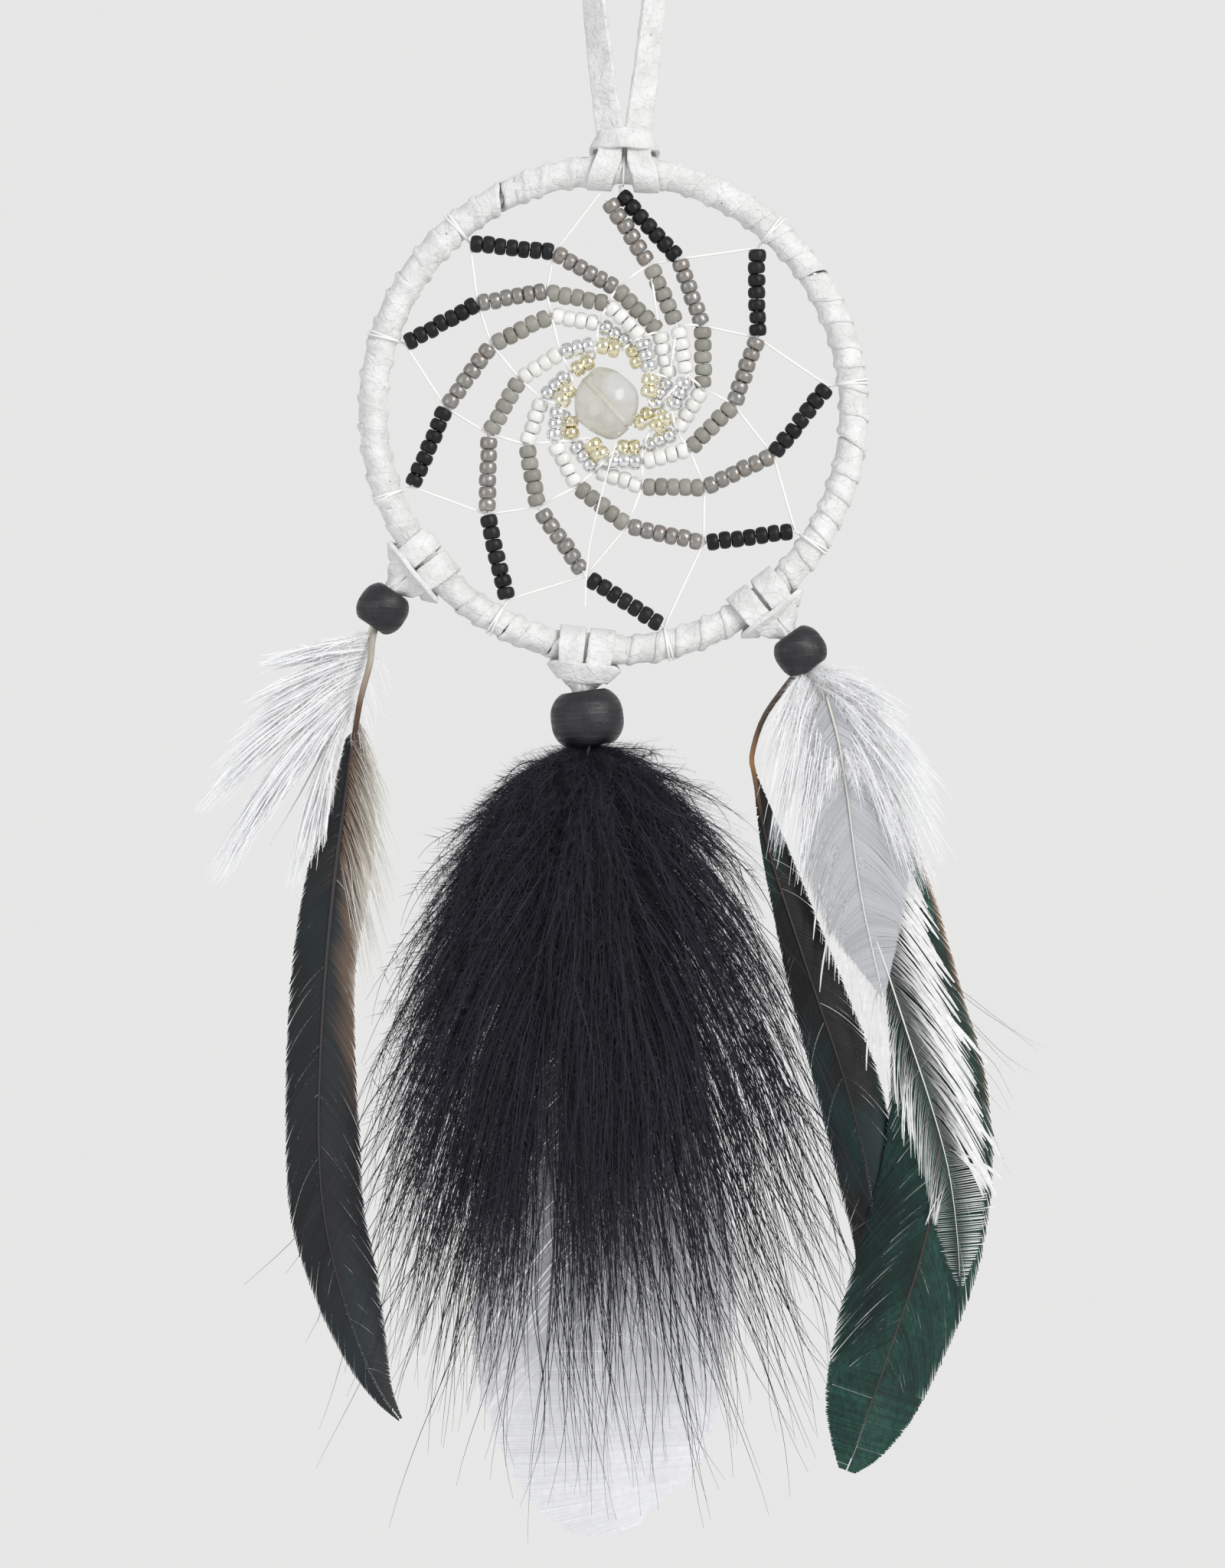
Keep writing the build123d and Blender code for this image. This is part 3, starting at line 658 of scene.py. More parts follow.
# ---- web thread ---------------------------------------------------------------------------
ARMS = [    # each arm's knots, as in the CAD; arm 0 starts on the thread's second lap
    [(-1.0, 38.2), (6.6, 26.5), (11.6, 15.4), (13.4, 6.2), (10.6, -0.4), (6.6, -4.0)],
    [(1.2, 39.5), (11.8, 27.4), (16.3, 15.3), (16.3, 3.9), (11.4, -3.9), (5.3, -6.8), (0.4, -6.9)],
    [(26.0, 29.4), (26.1, 13.2), (21.8, 1.0), (13.8, -7.2), (5.2, -9.4), (-1.3, -9.1), (-4.4, -5.1)],
    [(38.9, 4.4), (29.0, -8.2), (16.5, -14.0), (5.3, -13.8), (-3.3, -11.0), (-7.4, -5.6), (-8.0, -0.5)],
    [(33.0, -22.0), (16.4, -24.0), (2.5, -21.0), (-6.6, -13.9), (-10.7, -5.8), (-10.0, 0.8), (-7.3, 4.6)],
    [(9.2, -39.4), (-5.0, -30.0), (-13.6, -17.5), (-15.8, -6.3), (-13.0, 2.0), (-7.8, 6.9), (-3.4, 9.6)],
    [(-19.2, -34.4), (-22.9, -18.9), (-22.6, -4.3), (-16.9, 5.5), (-9.6, 10.4), (-3.2, 11.9), (1.6, 10.8)],
    [(-36.5, -13.9), (-30.3, 0.4), (-22.1, 11.9), (-11.3, 17.3), (-2.6, 15.7), (3.1, 12.1), (5.2, 7.6)],
    [(-37.8, 12.0), (-24.6, 19.4), (-12.1, 21.5), (-1.0, 19.2), (5.2, 13.1), (6.9, 6.6), (6.2, 2.1)],
    [(-26.0, 30.3), (-10.7, 28.6), (0.6, 22.1), (8.3, 14.3), (10.1, 5.8), (7.3, 0.1), (3.9, -3.0)],
]
UNDER_HITCH = 1             # this arm's tie is a single turn, between the top hitch's own turns
LEVEL_Y = [0.0, 0.0, 0.15, 0.4, 0.85, 1.15, 1.25]   # how far the knots are in front or behind
START_Y = {0: -0.9, 1: 0.9}                         # two arms start side by side
LAP_END = (-2.4, 39.2)
THREAD_R = 0.23
TIE_STANDS = 0.12           # a tie's height over the wrap, and the distance between its turns
TIE_PITCH = 0.75
FRONT = -1.9                # a bare stretch passes in front of the beads that it crosses


def knot_at(arm, level):
    missing = len(LEVEL_Y) - len(ARMS[arm])
    x, z = ARMS[arm][level - missing]
    depth = LEVEL_Y[level] * (1 if arm % 2 else -1)
    if level == missing:
        depth = START_Y.get(arm, depth)
    return np.array([x, depth, z])


def thread_run(start, end, front=0.0):
    """A stretch of thread, drawn forward in its middle where it crosses beads."""
    middle = (start + end) / 2 + np.array([0, front, 0])
    line = smooth_line([start, start * 0.75 + middle * 0.25, middle, end * 0.75 + middle * 0.25, end], 12)
    return tube(line, THREAD_R, 8)


def thread_tie(angle, loops=2):
    """The thread's turns round the wrapped hoop at one anchor."""
    parts = []
    out = np.array(heading(math.degrees(angle)))
    along = np.array(heading(math.degrees(angle) + 90))
    turn = np.linspace(0, 2 * np.pi, 36)
    lie = WRAP_R + TIE_STANDS
    for i in range(loops):
        ring = (out * (HOOP_R + lie * np.cos(turn))[:, None]
                + np.array([0, 1, 0]) * (lie * np.sin(turn))[:, None]
                + along * ((i - (loops - 1) / 2) * TIE_PITCH * np.cos(turn / 2) ** 2)[:, None])
        parts.append(tube(ring, THREAD_R * 0.9, 6))
    return parts


def small_knot(centre, size=0.3):
    turn = np.linspace(0, 4 * np.pi, 22)
    ball = np.stack([np.cos(turn), 0.7 * np.sin(turn * 1.5), np.sin(turn)], 1) * size
    return tube(centre + ball, THREAD_R * 0.8, 6)


def make_web_thread():
    arms, levels = len(ARMS), len(LEVEL_Y)
    last = arms - 1
    parts = []
    for arm in range(arms):
        first = levels - len(ARMS[arm])
        for level in range(first, levels - 1):
            parts.append(thread_run(knot_at(arm, level), knot_at(arm, level + 1)))
            if level:
                parts.append(small_knot(knot_at(arm, level)))
    for arm in range(1, last):
        parts.append(thread_run(knot_at(arm, 1), knot_at(arm + 1, 0)))
    parts.append(thread_run(knot_at(last, 1), np.array([LAP_END[0], -1.2, LAP_END[1]])))
    for arm in range(last):
        parts.append(thread_run(knot_at(arm, 2), knot_at(arm + 1, 1)))
    parts.append(thread_run(knot_at(last, 2), knot_at(0, 2), FRONT))
    for level in range(3, levels):
        for arm in range(arms):
            parts.append(thread_run(knot_at(arm, level), knot_at((arm + 1) % arms, level - 1), FRONT))
    for arm in range(1, arms):
        x, z = ARMS[arm][0]
        if arm == UNDER_HITCH:
            parts += thread_tie(math.radians(TOP_HITCH), 1)
        else:
            parts += thread_tie(math.atan2(z, x))
        hoop_side = np.array([x, 0, z]) * (HOOP_R - WRAP_R) / math.hypot(x, z)
        parts.append(thread_run(np.array([x, 0, z]), hoop_side))
    thread = new_piece("web_thread_strung", *solid_from_mm(*join_parts(parts)), THREAD)
    settle(thread, "hoop", "thread", "web_thread")


make_web_thread()


# ---- seed beads: drilled, round-sided rings, each a little uneven ---------------------------
RUNS = [    # colour, beads in a run, radius, length
    ("black", 7, 1.60, 2.20), ("lustre", 6, 1.60, 2.20), ("matte", 5, 1.62, 2.20), ("white", 4, 1.56, 2.06),
    ("silver", 3, 1.56, 1.94), ("gold", 2, 1.62, 2.02)]
BEAD_HOLE = 0.42            # the hole's radius
BEAD_ROUND = 2 / 2.25       # how square the bead's section is: 1 is an ellipse


BEAD_PAINTS = {
    "black": bead_paint("black_glass", (0.003, 0.003, 0.004), (0.012, 0.012, 0.014), 0.45, 0.5,
                        Specular_IOR_Level=0.35),
    "lustre": lustre_paint(),
    "matte": bead_paint("matte_glass", (0.25, 0.24, 0.205), (0.35, 0.34, 0.30), 0.45, 0.2),
    "white": bead_paint("white_glass", (0.78, 0.77, 0.73), (0.90, 0.89, 0.86), 0.25, 0.1,
                        Coat_Weight=0.3),
    "silver": bead_paint("silver_plate", (0.86, 0.86, 0.86), (0.97, 0.97, 0.98), 0.16, 0.02, 250.0,
                         Metallic=1.0),
    "gold": bead_paint("gold_plate", (0.93, 0.84, 0.56), (0.99, 0.94, 0.74), 0.16, 0.02, 250.0,
                       Metallic=1.0),
}


def one_bead(centre, along, radius, length, rng):
    """A drilled bead with rounded sides; each is a little out of round and a little slanted."""
    turn = np.linspace(0, 2 * np.pi, 22, endpoint=False)[:, None]
    edge = np.linspace(0, 2 * np.pi, 16, endpoint=False)[None]
    out, up = (np.sign(part) * np.abs(part) ** BEAD_ROUND for part in (np.cos(edge), np.sin(edge)))
    across = unit(np.cross(along, (0.0, 1.0, 0.02)))
    other = np.cross(along, across)
    wall = (radius - BEAD_HOLE) / 2
    ring = BEAD_HOLE + wall * (1 + out)
    ring = ring * (1 + rng.uniform(-0.02, 0.02) * np.cos(turn * 2 + rng.uniform(0, 6)))
    slant = 1 + rng.uniform(-0.09, 0.09) * np.cos(turn + rng.uniform(0, 6))
    spot = ((ring * np.cos(turn))[..., None] * across + (ring * np.sin(turn))[..., None] * other
            + (up * slant * length / 2)[..., None] * along)
    columns = out.shape[1]
    rows = len(turn)
    quads = grid_quads(rows + 1, columns, True) % (rows * columns)
    return (centre + spot).reshape(-1, 3), quads, np.zeros((0, 3), int)


def make_beads():
    rng = np.random.default_rng(61)
    levels = len(RUNS) + 1
    for step, (colour, count, radius, length) in enumerate(RUNS):
        parts = []
        for arm in range(len(ARMS)):
            if step < levels - len(ARMS[arm]):
                continue
            start, end = knot_at(arm, step), knot_at(arm, step + 1)
            span = np.linalg.norm(end - start)
            along = (end - start) / span
            across = unit(np.cross(along, (0, 1, 0)))
            pitch = min((span - 0.3) / count, length * 1.02)
            for i in range(count):
                middle = ((start + end) / 2 + along * pitch * (i - (count - 1) / 2)
                          + across * rng.uniform(-0.12, 0.12))
                lean = unit(along + across * rng.uniform(-0.06, 0.06))
                parts.append(one_bead(middle, lean, radius * rng.uniform(0.96, 1.01),
                                      min(length, pitch * 0.99) * rng.uniform(0.95, 1.0), rng))
        beads = new_piece(f"{colour}_beads_round", *solid_from_mm(*join_parts(parts)), BEAD_PAINTS[colour])
        settle(beads, "hoop", f"bead_{colour}", f"{colour}_beads")


make_beads()


# ---- centre stone: a hand-cut, drilled, milky pebble ----------------------------------------
STONE_AT = (-1.3, 1.4)
STONE_AXIS = -47.0                  # the hole's direction, in degrees
STONE_HALF = (6.0, 4.0, 6.2)        # across, deep, along its hole
STONE_HOLE = 0.55                   # radius


def make_stone():
    rng = np.random.default_rng(71)
    along = np.array(heading(STONE_AXIS))
    across = np.array(heading(STONE_AXIS + 90))
    deep = np.array([0.0, 1.0, 0.0])
    facets = unit(rng.normal(size=(26, 3)))
    facets = np.vstack([facets, -facets])
    reach = rng.uniform(0.93, 1.02, len(facets))
    rows, columns = 56, 72
    tilt = np.linspace(0.04, np.pi - 0.04, rows)[:, None]
    spin = np.linspace(0, 2 * np.pi, columns, endpoint=False)[None]
    look = np.stack([np.sin(tilt) * np.cos(spin), np.sin(tilt) * np.sin(spin),
                     np.cos(tilt) * np.ones_like(spin)], -1)
    press = np.maximum(look @ facets.T, 0) / reach
    size = (press**22).sum(-1) ** (-1 / 22)
    local = look * size[..., None] * np.array(STONE_HALF)
    middle = np.array([STONE_AT[0], 0, STONE_AT[1]])
    place = (local[..., :1] * across + local[..., 1:2] * deep + local[..., 2:] * along).reshape(-1, 3)
    place = place + middle
    stone = new_piece("centre_stone_milky", from_mm(place), grid_quads(rows, columns, True),
                      end_caps(rows, columns), stone_paint())
    settle(stone, "stone", "stone", "centre_stone")
    line = middle + along * np.linspace(-5.6, 5.6, 12)[:, None]
    drill = new_piece("stone_drill_hole", *solid_from_mm(*tube(line, STONE_HOLE, 14)), channel_paint())
    settle(drill, "stone", "stone")


make_stone()


# ---- the droppers' wood beads, and the CAD parts that stay as they are ----------------------
def wood_bead(node, body, half_width, half_height, hole, turn):
    """A turned barrel with flat ends, drilled, in place of the CAD's bead; its hole leans by turn."""
    low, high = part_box(node)
    middle = (np.array((low + high) / 2) - np.array(CENTRE)) / MM
    along = np.array([math.sin(math.radians(turn)), 0, math.cos(math.radians(turn))])
    across = np.array([along[2], 0, -along[0]])
    height = np.concatenate([np.linspace(-1, 1, 25), np.linspace(1, -1, 9)])
    out = half_width * (1 - 0.36 * np.abs(height) ** 2.8)
    out[[0, 24]] -= 0.25        # the worn rims
    out[25:] = hole
    height = height * half_height
    spin = np.linspace(0, 2 * np.pi, 64, endpoint=False)[:, None]
    spot = ((out * np.cos(spin))[..., None] * across
            + (out * np.sin(spin))[..., None] * np.array([0.0, 1.0, 0.0]) + height[None, :, None] * along)
    rows, columns = spot.shape[:2]
    quads = grid_quads(rows + 1, columns, True) % (rows * columns)
    bead = new_piece(node + "_turned", from_mm((middle + spot).reshape(-1, 3)), quads, None,
                     wood_paint("black_wood_" + node, -turn))
    settle(bead, body, "black_wood", node)


wood_bead("left_wood_bead", "left_dropper", 4.6, 3.8, 1.5, 34)
wood_bead("centre_wood_bead", "centre_dropper", 6.6, 5.0, 1.7, -8)
wood_bead("right_wood_bead", "right_dropper", 4.65, 3.8, 1.5, -36)


def paint_nodes():
    for node, material in (("stone_thread", THREAD), ("hoop_wire", steel_paint())):
        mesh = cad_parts[node].data
        mesh.materials.clear()
        mesh.materials.append(material)


paint_nodes()


# ---- feathers -----------------------------------------------------------------------------
class Strands:
    """Gathers barbs (ribbons) and barbules (single hairs) into one mesh.

    Every vertex keeps three numbers for its material: along the feather, out along its barb, and the
    barb's own random number. Each barb has its own column in the texture layout.
    """

    def __init__(self, seed):
        self.rng = np.random.default_rng(seed)
        self.verts, self.quads, self.tris = [], [], []
        self.data = []          # along, out, own, column, height in the column
        self.count = 0
        self.columns = 0

    def _keep(self, verts, data, quads=None, tris=None):
        self.verts.append(verts)
        self.data.append(data)
        if quads is not None:
            self.quads.append(quads + self.count)
        if tris is not None:
            self.tris.append(tris + self.count)
        self.count += len(verts)

    @staticmethod
    def _rows(shape, *values):
        return np.stack([np.broadcast_to(value, shape) for value in values], -1).reshape(-1, len(values))

    def ribbons(self, lines, half, along, own, ridge=0.0):
        """lines and half are (barbs, points, 3); half reaches from the middle to one edge.
        ridge lifts the middle by that share of the width, for a barb with a roof-shaped section."""
        barbs, points = lines.shape[:2]
        across = (-1, 0, 1) if ridge else (-1, 1)
        face = unit(np.cross(np.gradient(lines, axis=1), half))
        face *= np.where(face[..., 1:2] > 0, -1, 1)
        wide = np.linalg.norm(half, axis=-1, keepdims=True)
        layers = [lines + half * s + (face * wide * ridge * 2 if s == 0 else 0) for s in across]
        verts = np.stack(layers, axis=2).reshape(-1, 3)
        columns = len(across)
        base = grid_quads(points, columns)
        quads = (base[None] + (np.arange(barbs) * points * columns)[:, None, None]).reshape(-1, 4)
        out = np.linspace(0, 1, points)[None, :, None]
        place = (self.columns + 0.5 + np.arange(barbs))[:, None, None] + np.array(across) * 0.3
        data = self._rows((barbs, points, columns), along[:, None, None], out, own[:, None, None],
                          place, out)
        self._keep(verts, data, quads=quads)
        self.columns += barbs

    def barbules(self, lines, along, own, each, length, width, start=0.05, end=0.97):
        """Fine side hairs on barbs that were just added, from `start` to `end` along each barb."""
        lean, flat = 0.9, 0.5       # how far a hair leans along its barb, and how little it leaves the plane
        barbs, points = lines.shape[:2]
        rng = self.rng
        place = rng.uniform(start, end, (barbs, each)) * (points - 1)
        low = np.minimum(place.astype(int), points - 2)
        t = (place - low)[..., None]
        rows = np.arange(barbs)[:, None]
        root = lines[rows, low] * (1 - t) + lines[rows, low + 1] * t
        run = unit(lines[rows, low + 1] - lines[rows, low])
        side = unit(np.cross(run, (0, 1, 0)))
        back = np.cross(run, side)
        turn = rng.uniform(0, 2 * np.pi, (barbs, each))[..., None]
        away = side * np.cos(turn) + back * np.sin(turn) * flat
        reach = length * rng.uniform(0.45, 1.1, (barbs, each))[..., None] * (1.15 - 0.6 * t)
        tip = root + (unit(away) + run * lean) / math.hypot(1, lean) * reach
        half = unit(np.cross(tip - root, rng.normal(size=root.shape) * 0.5 + (0, 1, 0))) * width / 2
        verts = np.stack([root - half, root + half, tip], axis=2).reshape(-1, 3)
        out = np.broadcast_to((place / (points - 1))[..., None], (barbs, each, 3))
        column = (self.columns - barbs + 0.5 + np.arange(barbs))[:, None, None] + np.array([-0.1, 0.1, 0.0])
        data = self._rows((barbs, each, 3), along[:, None, None], out, own[:, None, None],
                          column, out + np.array([0, 0, 0.02]))
        self._keep(verts, data, tris=np.arange(barbs * each * 3).reshape(-1, 3))

    def piece(self, name, material, body, nodes, slot):
        data = np.vstack(self.data)
        uv = np.stack([data[:, 3] / self.columns, np.clip(data[:, 4], 0, 1) * 0.98 + 0.01], 1)
        obj = new_piece(name, from_mm(np.vstack(self.verts)),
                        np.vstack(self.quads) if self.quads else None,
                        np.vstack(self.tris) if self.tris else None, material, uv,
                        {"along": data[:, 0], "out": data[:, 1], "own": data[:, 2]})
        settle(obj, body, slot, *nodes)
        return obj


def bezier(root, control, tip, points):
    t = np.linspace(0, 1, points)[None, :, None]
    return (1 - t) ** 2 * root[:, None] + 2 * t * (1 - t) * control[:, None] + t**2 * tip[:, None]


class Shaft:
    """A feather's shaft: rows (x, z, left width, right width) and its tip. It lies at depth y,
    bowed to the back by `bow`; its vane is twisted by the two angles at its ends."""

    def __init__(self, stations, tip, y, bow=0.0, twist=(0.0, 0.0)):
        line = smooth_line([*stations, (*tip, 0.0, 0.0)], 400)
        share = np.linspace(0, 1, len(line))
        depth = y + bow * np.sin(np.pi * share)
        self.path = np.stack([line[:, 0], depth, line[:, 1]], 1)
        self.left, self.right = np.maximum(line[:, 2], 0), np.maximum(line[:, 3], 0)
        steps = np.linalg.norm(np.diff(self.path, axis=0), axis=1)
        self.length = np.concatenate([[0], np.cumsum(steps)])
        self.total = self.length[-1]
        self.twist = np.radians(np.linspace(*twist, len(line)))

    def look(self, values, where):
        where = np.clip(where, 0, self.total)
        if values.ndim == 1:
            return np.interp(where, self.length, values)
        return np.stack([np.interp(where, self.length, values[:, i]) for i in range(3)], -1)

    def at(self, where):
        return self.look(self.path, where)

    def sideways(self, where, side):
        """Unit vector in the vane's own plane, to the viewer's right for side 1."""
        run = unit(self.at(np.asarray(where) + 0.5) - self.at(np.asarray(where) - 0.5))
        flat = unit(np.cross(run, (0, 1, 0)))
        turn = self.look(self.twist, where)[..., None]
        return side * (flat * np.cos(turn) + np.cross(run, flat) * np.sin(turn))

    def width(self, where, side):
        return self.look(self.right if side > 0 else self.left, where)


def bare(*points):
    """Rows of a shaft that carries no vane of its own."""
    return [(x, z, 1, 1) for x, z in points]


def vane(strands, shaft, side, count, angle, cover, clump, camber, frayed, parted=0.0, ridge=0.10, loose=0.0):
    """The barbs on one side of a shaft. They leave it at `angle` (base, tip) and end on its outline.

    cover is a barb's width as a share of the distance to the next, clump the number that hang together,
    parted how far clumps draw apart at the edge, camber how far the edge bends back, frayed how uneven
    the edge is, ridge a barb's roof shape, and loose the share of barbs that stick out.
    """
    rng = strands.rng
    span, points = (0.0, 0.985), 11
    share = np.linspace(*span, count) + rng.normal(0, 0.15 / count, count)
    root_at = np.clip(share, 0, 1) * shaft.total
    slant = np.radians(np.interp(share, (0, 1), angle))
    tip_at = root_at.copy()
    for _ in range(4):
        tip_at = root_at + shaft.width(tip_at, side) / np.tan(slant)
    tip_at = np.minimum(tip_at, shaft.total * 0.999)
    # barbs hang together in clumps
    marks = np.cumsum(rng.uniform(0.4, 1.6, count) * clump)
    marks = marks[marks < count]
    group = np.searchsorted(marks, np.arange(count))
    middle = np.array([np.mean(np.nonzero(group == g)[0]) for g in range(group.max() + 1)])[group]
    spacing = shaft.total * (span[1] - span[0]) / count
    tip_at = tip_at - (np.arange(count) - middle) * spacing * parted
    lift = rng.normal(0, 1, group.max() + 1)[group]
    wide = shaft.width(tip_at, side) * (1 + rng.normal(0, frayed, count) + 0.15 * parted * lift)
    wide = np.where(rng.random(count) < loose, wide * rng.uniform(1.05, 1.5, count), wide)
    root = shaft.at(root_at) + shaft.sideways(root_at, side) * 0.12
    tip = shaft.at(tip_at) + shaft.sideways(tip_at, side) * wide[:, None]
    bend_at = root_at + 0.34 * (tip_at - root_at)
    bend = shaft.at(bend_at) + shaft.sideways(bend_at, side) * (0.60 * wide)[:, None]
    fall = camber * (wide / max(shaft.left.max(), shaft.right.max())) ** 2
    tip[:, 1] += fall + 0.6 * parted * lift
    bend[:, 1] += 0.15 * fall
    lines = bezier(root, bend, tip, points)
    run = unit(np.gradient(lines, axis=1))
    flat = unit(np.cross(run, (0, 1, 0)))
    near = np.linalg.norm(np.cross(np.diff(lines, axis=0), run[:-1]), axis=-1)
    near = np.vstack([near, near[-1:]])
    last = np.append(group[1:] != group[:-1], True) & (parted > 0)
    last[0] = False
    near[last] = near[np.nonzero(last)[0] - 1]
    near = np.clip(near, 0.05, 4 * spacing)
    taper = np.interp(np.linspace(0, 1, points), (0, 0.88, 1), (1, 1, 0.35))
    half = flat * (near * cover / 2 * taper[None])[..., None]
    half[..., 1] += np.linalg.norm(half, axis=-1) * 0.16
    own = rng.random(count) * 0.5 + np.modf(group * 0.618)[0] * 0.5
    strands.ribbons(lines, half, share, own, ridge)


def rachis(name, shaft, radius, material, body, quill=(), nodes=(), flat=0.0):
    """A feather's shaft as a tapered tube: its quill's points, then along the blade. flat moves the
    blade's part to the back."""
    sides = 10
    blade = shaft.at(np.linspace(0.0, 0.97, 40) * shaft.total) + np.array([0, flat, 0])
    points = np.vstack([smooth_line([*quill, blade[0]], 14)[:-1], blade]) if len(quill) else blade
    taper = np.interp(np.linspace(0, 1, len(points)), (0, 0.2, 1), (1.0, 0.85, 0.14))
    verts, quads, tris = tube(points, radius * taper, sides)
    shaft_piece = new_piece(name, from_mm(verts), quads, tris, material,
                            data={"along": np.repeat(np.linspace(0, 1, len(points)), sides)})
    settle(shaft_piece, body, "quill", *nodes)


# ---- feather materials --------------------------------------------------------------------
def feather_paint(name, colour, **values):
    """colour(paint, along, out, own) gives the colour socket."""
    paint = Paint(name, **values)
    along, out, own = paint.data("along"), paint.data("out"), paint.data("own")
    paint.colour(colour(paint, along, out, own))
    return paint.material


def quill_paint(name, base, tip, split=0.5):
    paint = Paint(name, Roughness=0.35, Coat_Weight=0.2)
    along = paint.data("along")
    streak = paint.noise(paint.place((600, 600, 60)), 1.0, 3)
    tone = paint.math("ADD", along, paint.math("MULTIPLY", paint.math("SUBTRACT", streak, 0.5), 0.25))
    paint.colour(paint.ramp(tone, (max(0.0, split - 0.2), base), (min(1.0, split + 0.2), tip)))
    paint.bump(streak, 0.15, 0.00005)
    return paint.material


def stepped_quill(name, *stops):
    """A quill that changes colour at the stops along it, a little unevenly."""
    def colour(paint, along, out, own):
        streak = paint.noise(paint.place((500, 500, 60)), 1.0, 3)
        return paint.ramp(paint.math("ADD", along, paint.math("MULTIPLY", streak, 0.05)), *stops)

    return feather_paint(name, colour, Roughness=0.35)


BLACK_QUILL = quill_paint("dark_quill", (0.03, 0.025, 0.03), (0.012, 0.012, 0.014))
BROWN_QUILL = quill_paint("brown_quill", (0.30, 0.24, 0.19), (0.045, 0.03, 0.022), 0.30)
WHITE_QUILL = quill_paint("white_quill", (0.72, 0.69, 0.62), (0.86, 0.85, 0.83))
BOWED_QUILL = stepped_quill("bowed_quill", (0.05, (0.10, 0.085, 0.075)), (0.16, (0.09, 0.05, 0.03)),
                            (0.24, (0.42, 0.22, 0.09)), (0.34, (0.03, 0.02, 0.015)))
PALE_QUILL = stepped_quill("pale_quill", (0.04, (0.50, 0.48, 0.44)), (0.12, (0.42, 0.37, 0.30)),
                           (0.20, (0.14, 0.07, 0.04)), (0.34, (0.035, 0.03, 0.03)))


def black_plume_colour(paint, along, out, own):
    place = paint.place((90, 90, 45))
    drift = paint.noise(place, 1.0, 4)
    deep = paint.mix(drift, (0.004, 0.004, 0.008), (0.014, 0.014, 0.024))
    light = paint.mix(own, (0.009, 0.010, 0.018), (0.034, 0.036, 0.060))
    tone = paint.math("MULTIPLY", paint.ramp(out, (0.0, 0.15), (0.5, 0.55), (1.0, 0.25)), own)
    return paint.mix(tone, deep, light)


def white_colour(paint, along, out, own):
    drift = paint.noise(paint.place((260, 260, 120)), 1.0, 4)
    tone = paint.mix(own, (0.92, 0.92, 0.93), (0.99, 0.99, 0.99))
    return paint.mix(paint.ramp(drift, (0.30, 0.35), (0.55, 0.0)), tone, (0.80, 0.80, 0.83))


PLUME = feather_paint("marabou", black_plume_colour, Roughness=0.62, Sheen_Weight=0.06,
                      Specular_IOR_Level=0.35)
FLUFF = feather_paint("white_fluff", white_colour, Roughness=0.75, Sheen_Weight=0.35)
GREY_DOWN = feather_paint("grey_down", lambda paint, along, out, own: paint.mix(
    own, (0.10, 0.10, 0.11), (0.34, 0.34, 0.36)), Roughness=0.7)


def pale_vane_colour(paint, along, out, own):
    tone = paint.mix(own, (0.74, 0.74, 0.77), (0.86, 0.86, 0.88))
    fine = paint.noise(paint.place((900, 900, 900)), 1.0, 2)
    return paint.mix(paint.ramp(fine, (0.4, 0.35), (0.6, 0.0)), tone, (0.68, 0.68, 0.72))


WHITE_VANE = feather_paint("white_vane", pale_vane_colour, Roughness=0.5, Sheen_Weight=0.1)


def green_colour(paint, along, out, own):
    """Green-black with speckled patches of painted green sheen and a brown rim at the upper right."""
    speck = paint.noise(paint.place((1300, 1300, 600)), 1.0, 5, 0.75)
    cloud = paint.noise(paint.place((60, 60, 24)), 1.0, 4)
    dark = paint.mix(own, (0.003, 0.008, 0.008), (0.010, 0.024, 0.021))
    # painted sheen: the green that shows where light catches the feather, laid on in speckled noise patches
    green = paint.mix(own, (0.006, 0.040, 0.031), (0.026, 0.115, 0.084))
    painted_sheen = paint.math("MULTIPLY", paint.ramp(cloud, (0.34, 0.10), (0.60, 1.0)),
                       paint.ramp(speck, (0.36, 0.25), (0.62, 1.0)))
    body = paint.mix(painted_sheen, dark, green)
    rim = paint.math("MULTIPLY", paint.ramp(along, (0.22, 1.0), (0.48, 0.0)),
                     paint.ramp(paint.data("right"), (0.84, 0.0), (0.98, 1.0)))
    return paint.mix(rim, body, (0.20, 0.105, 0.05))


def left_cock_colour(paint, along, out, own):
    """Blue-black with faint patches of painted green sheen; brown, then cream, on its upper right margin."""
    cloud = paint.noise(paint.place((60, 60, 30)), 1.0, 3)
    dark = paint.mix(own, (0.006, 0.007, 0.009), (0.016, 0.019, 0.022))
    # painted sheen: faint teal-green patches over the blue-black, placed by noise
    painted_sheen = paint.mix(paint.ramp(cloud, (0.50, 0.0), (0.68, 0.6)), dark, (0.012, 0.028, 0.031))
    top = paint.ramp(along, (0.10, 1.0), (0.62, 0.0))
    edge = paint.math("MULTIPLY", paint.data("right"), top)
    spread = paint.math("ADD", edge, paint.math("MULTIPLY", paint.math("SUBTRACT", own, 0.5), 0.22))
    return paint.three(spread, painted_sheen, (0.13, 0.085, 0.06), (0.62, 0.57, 0.50))


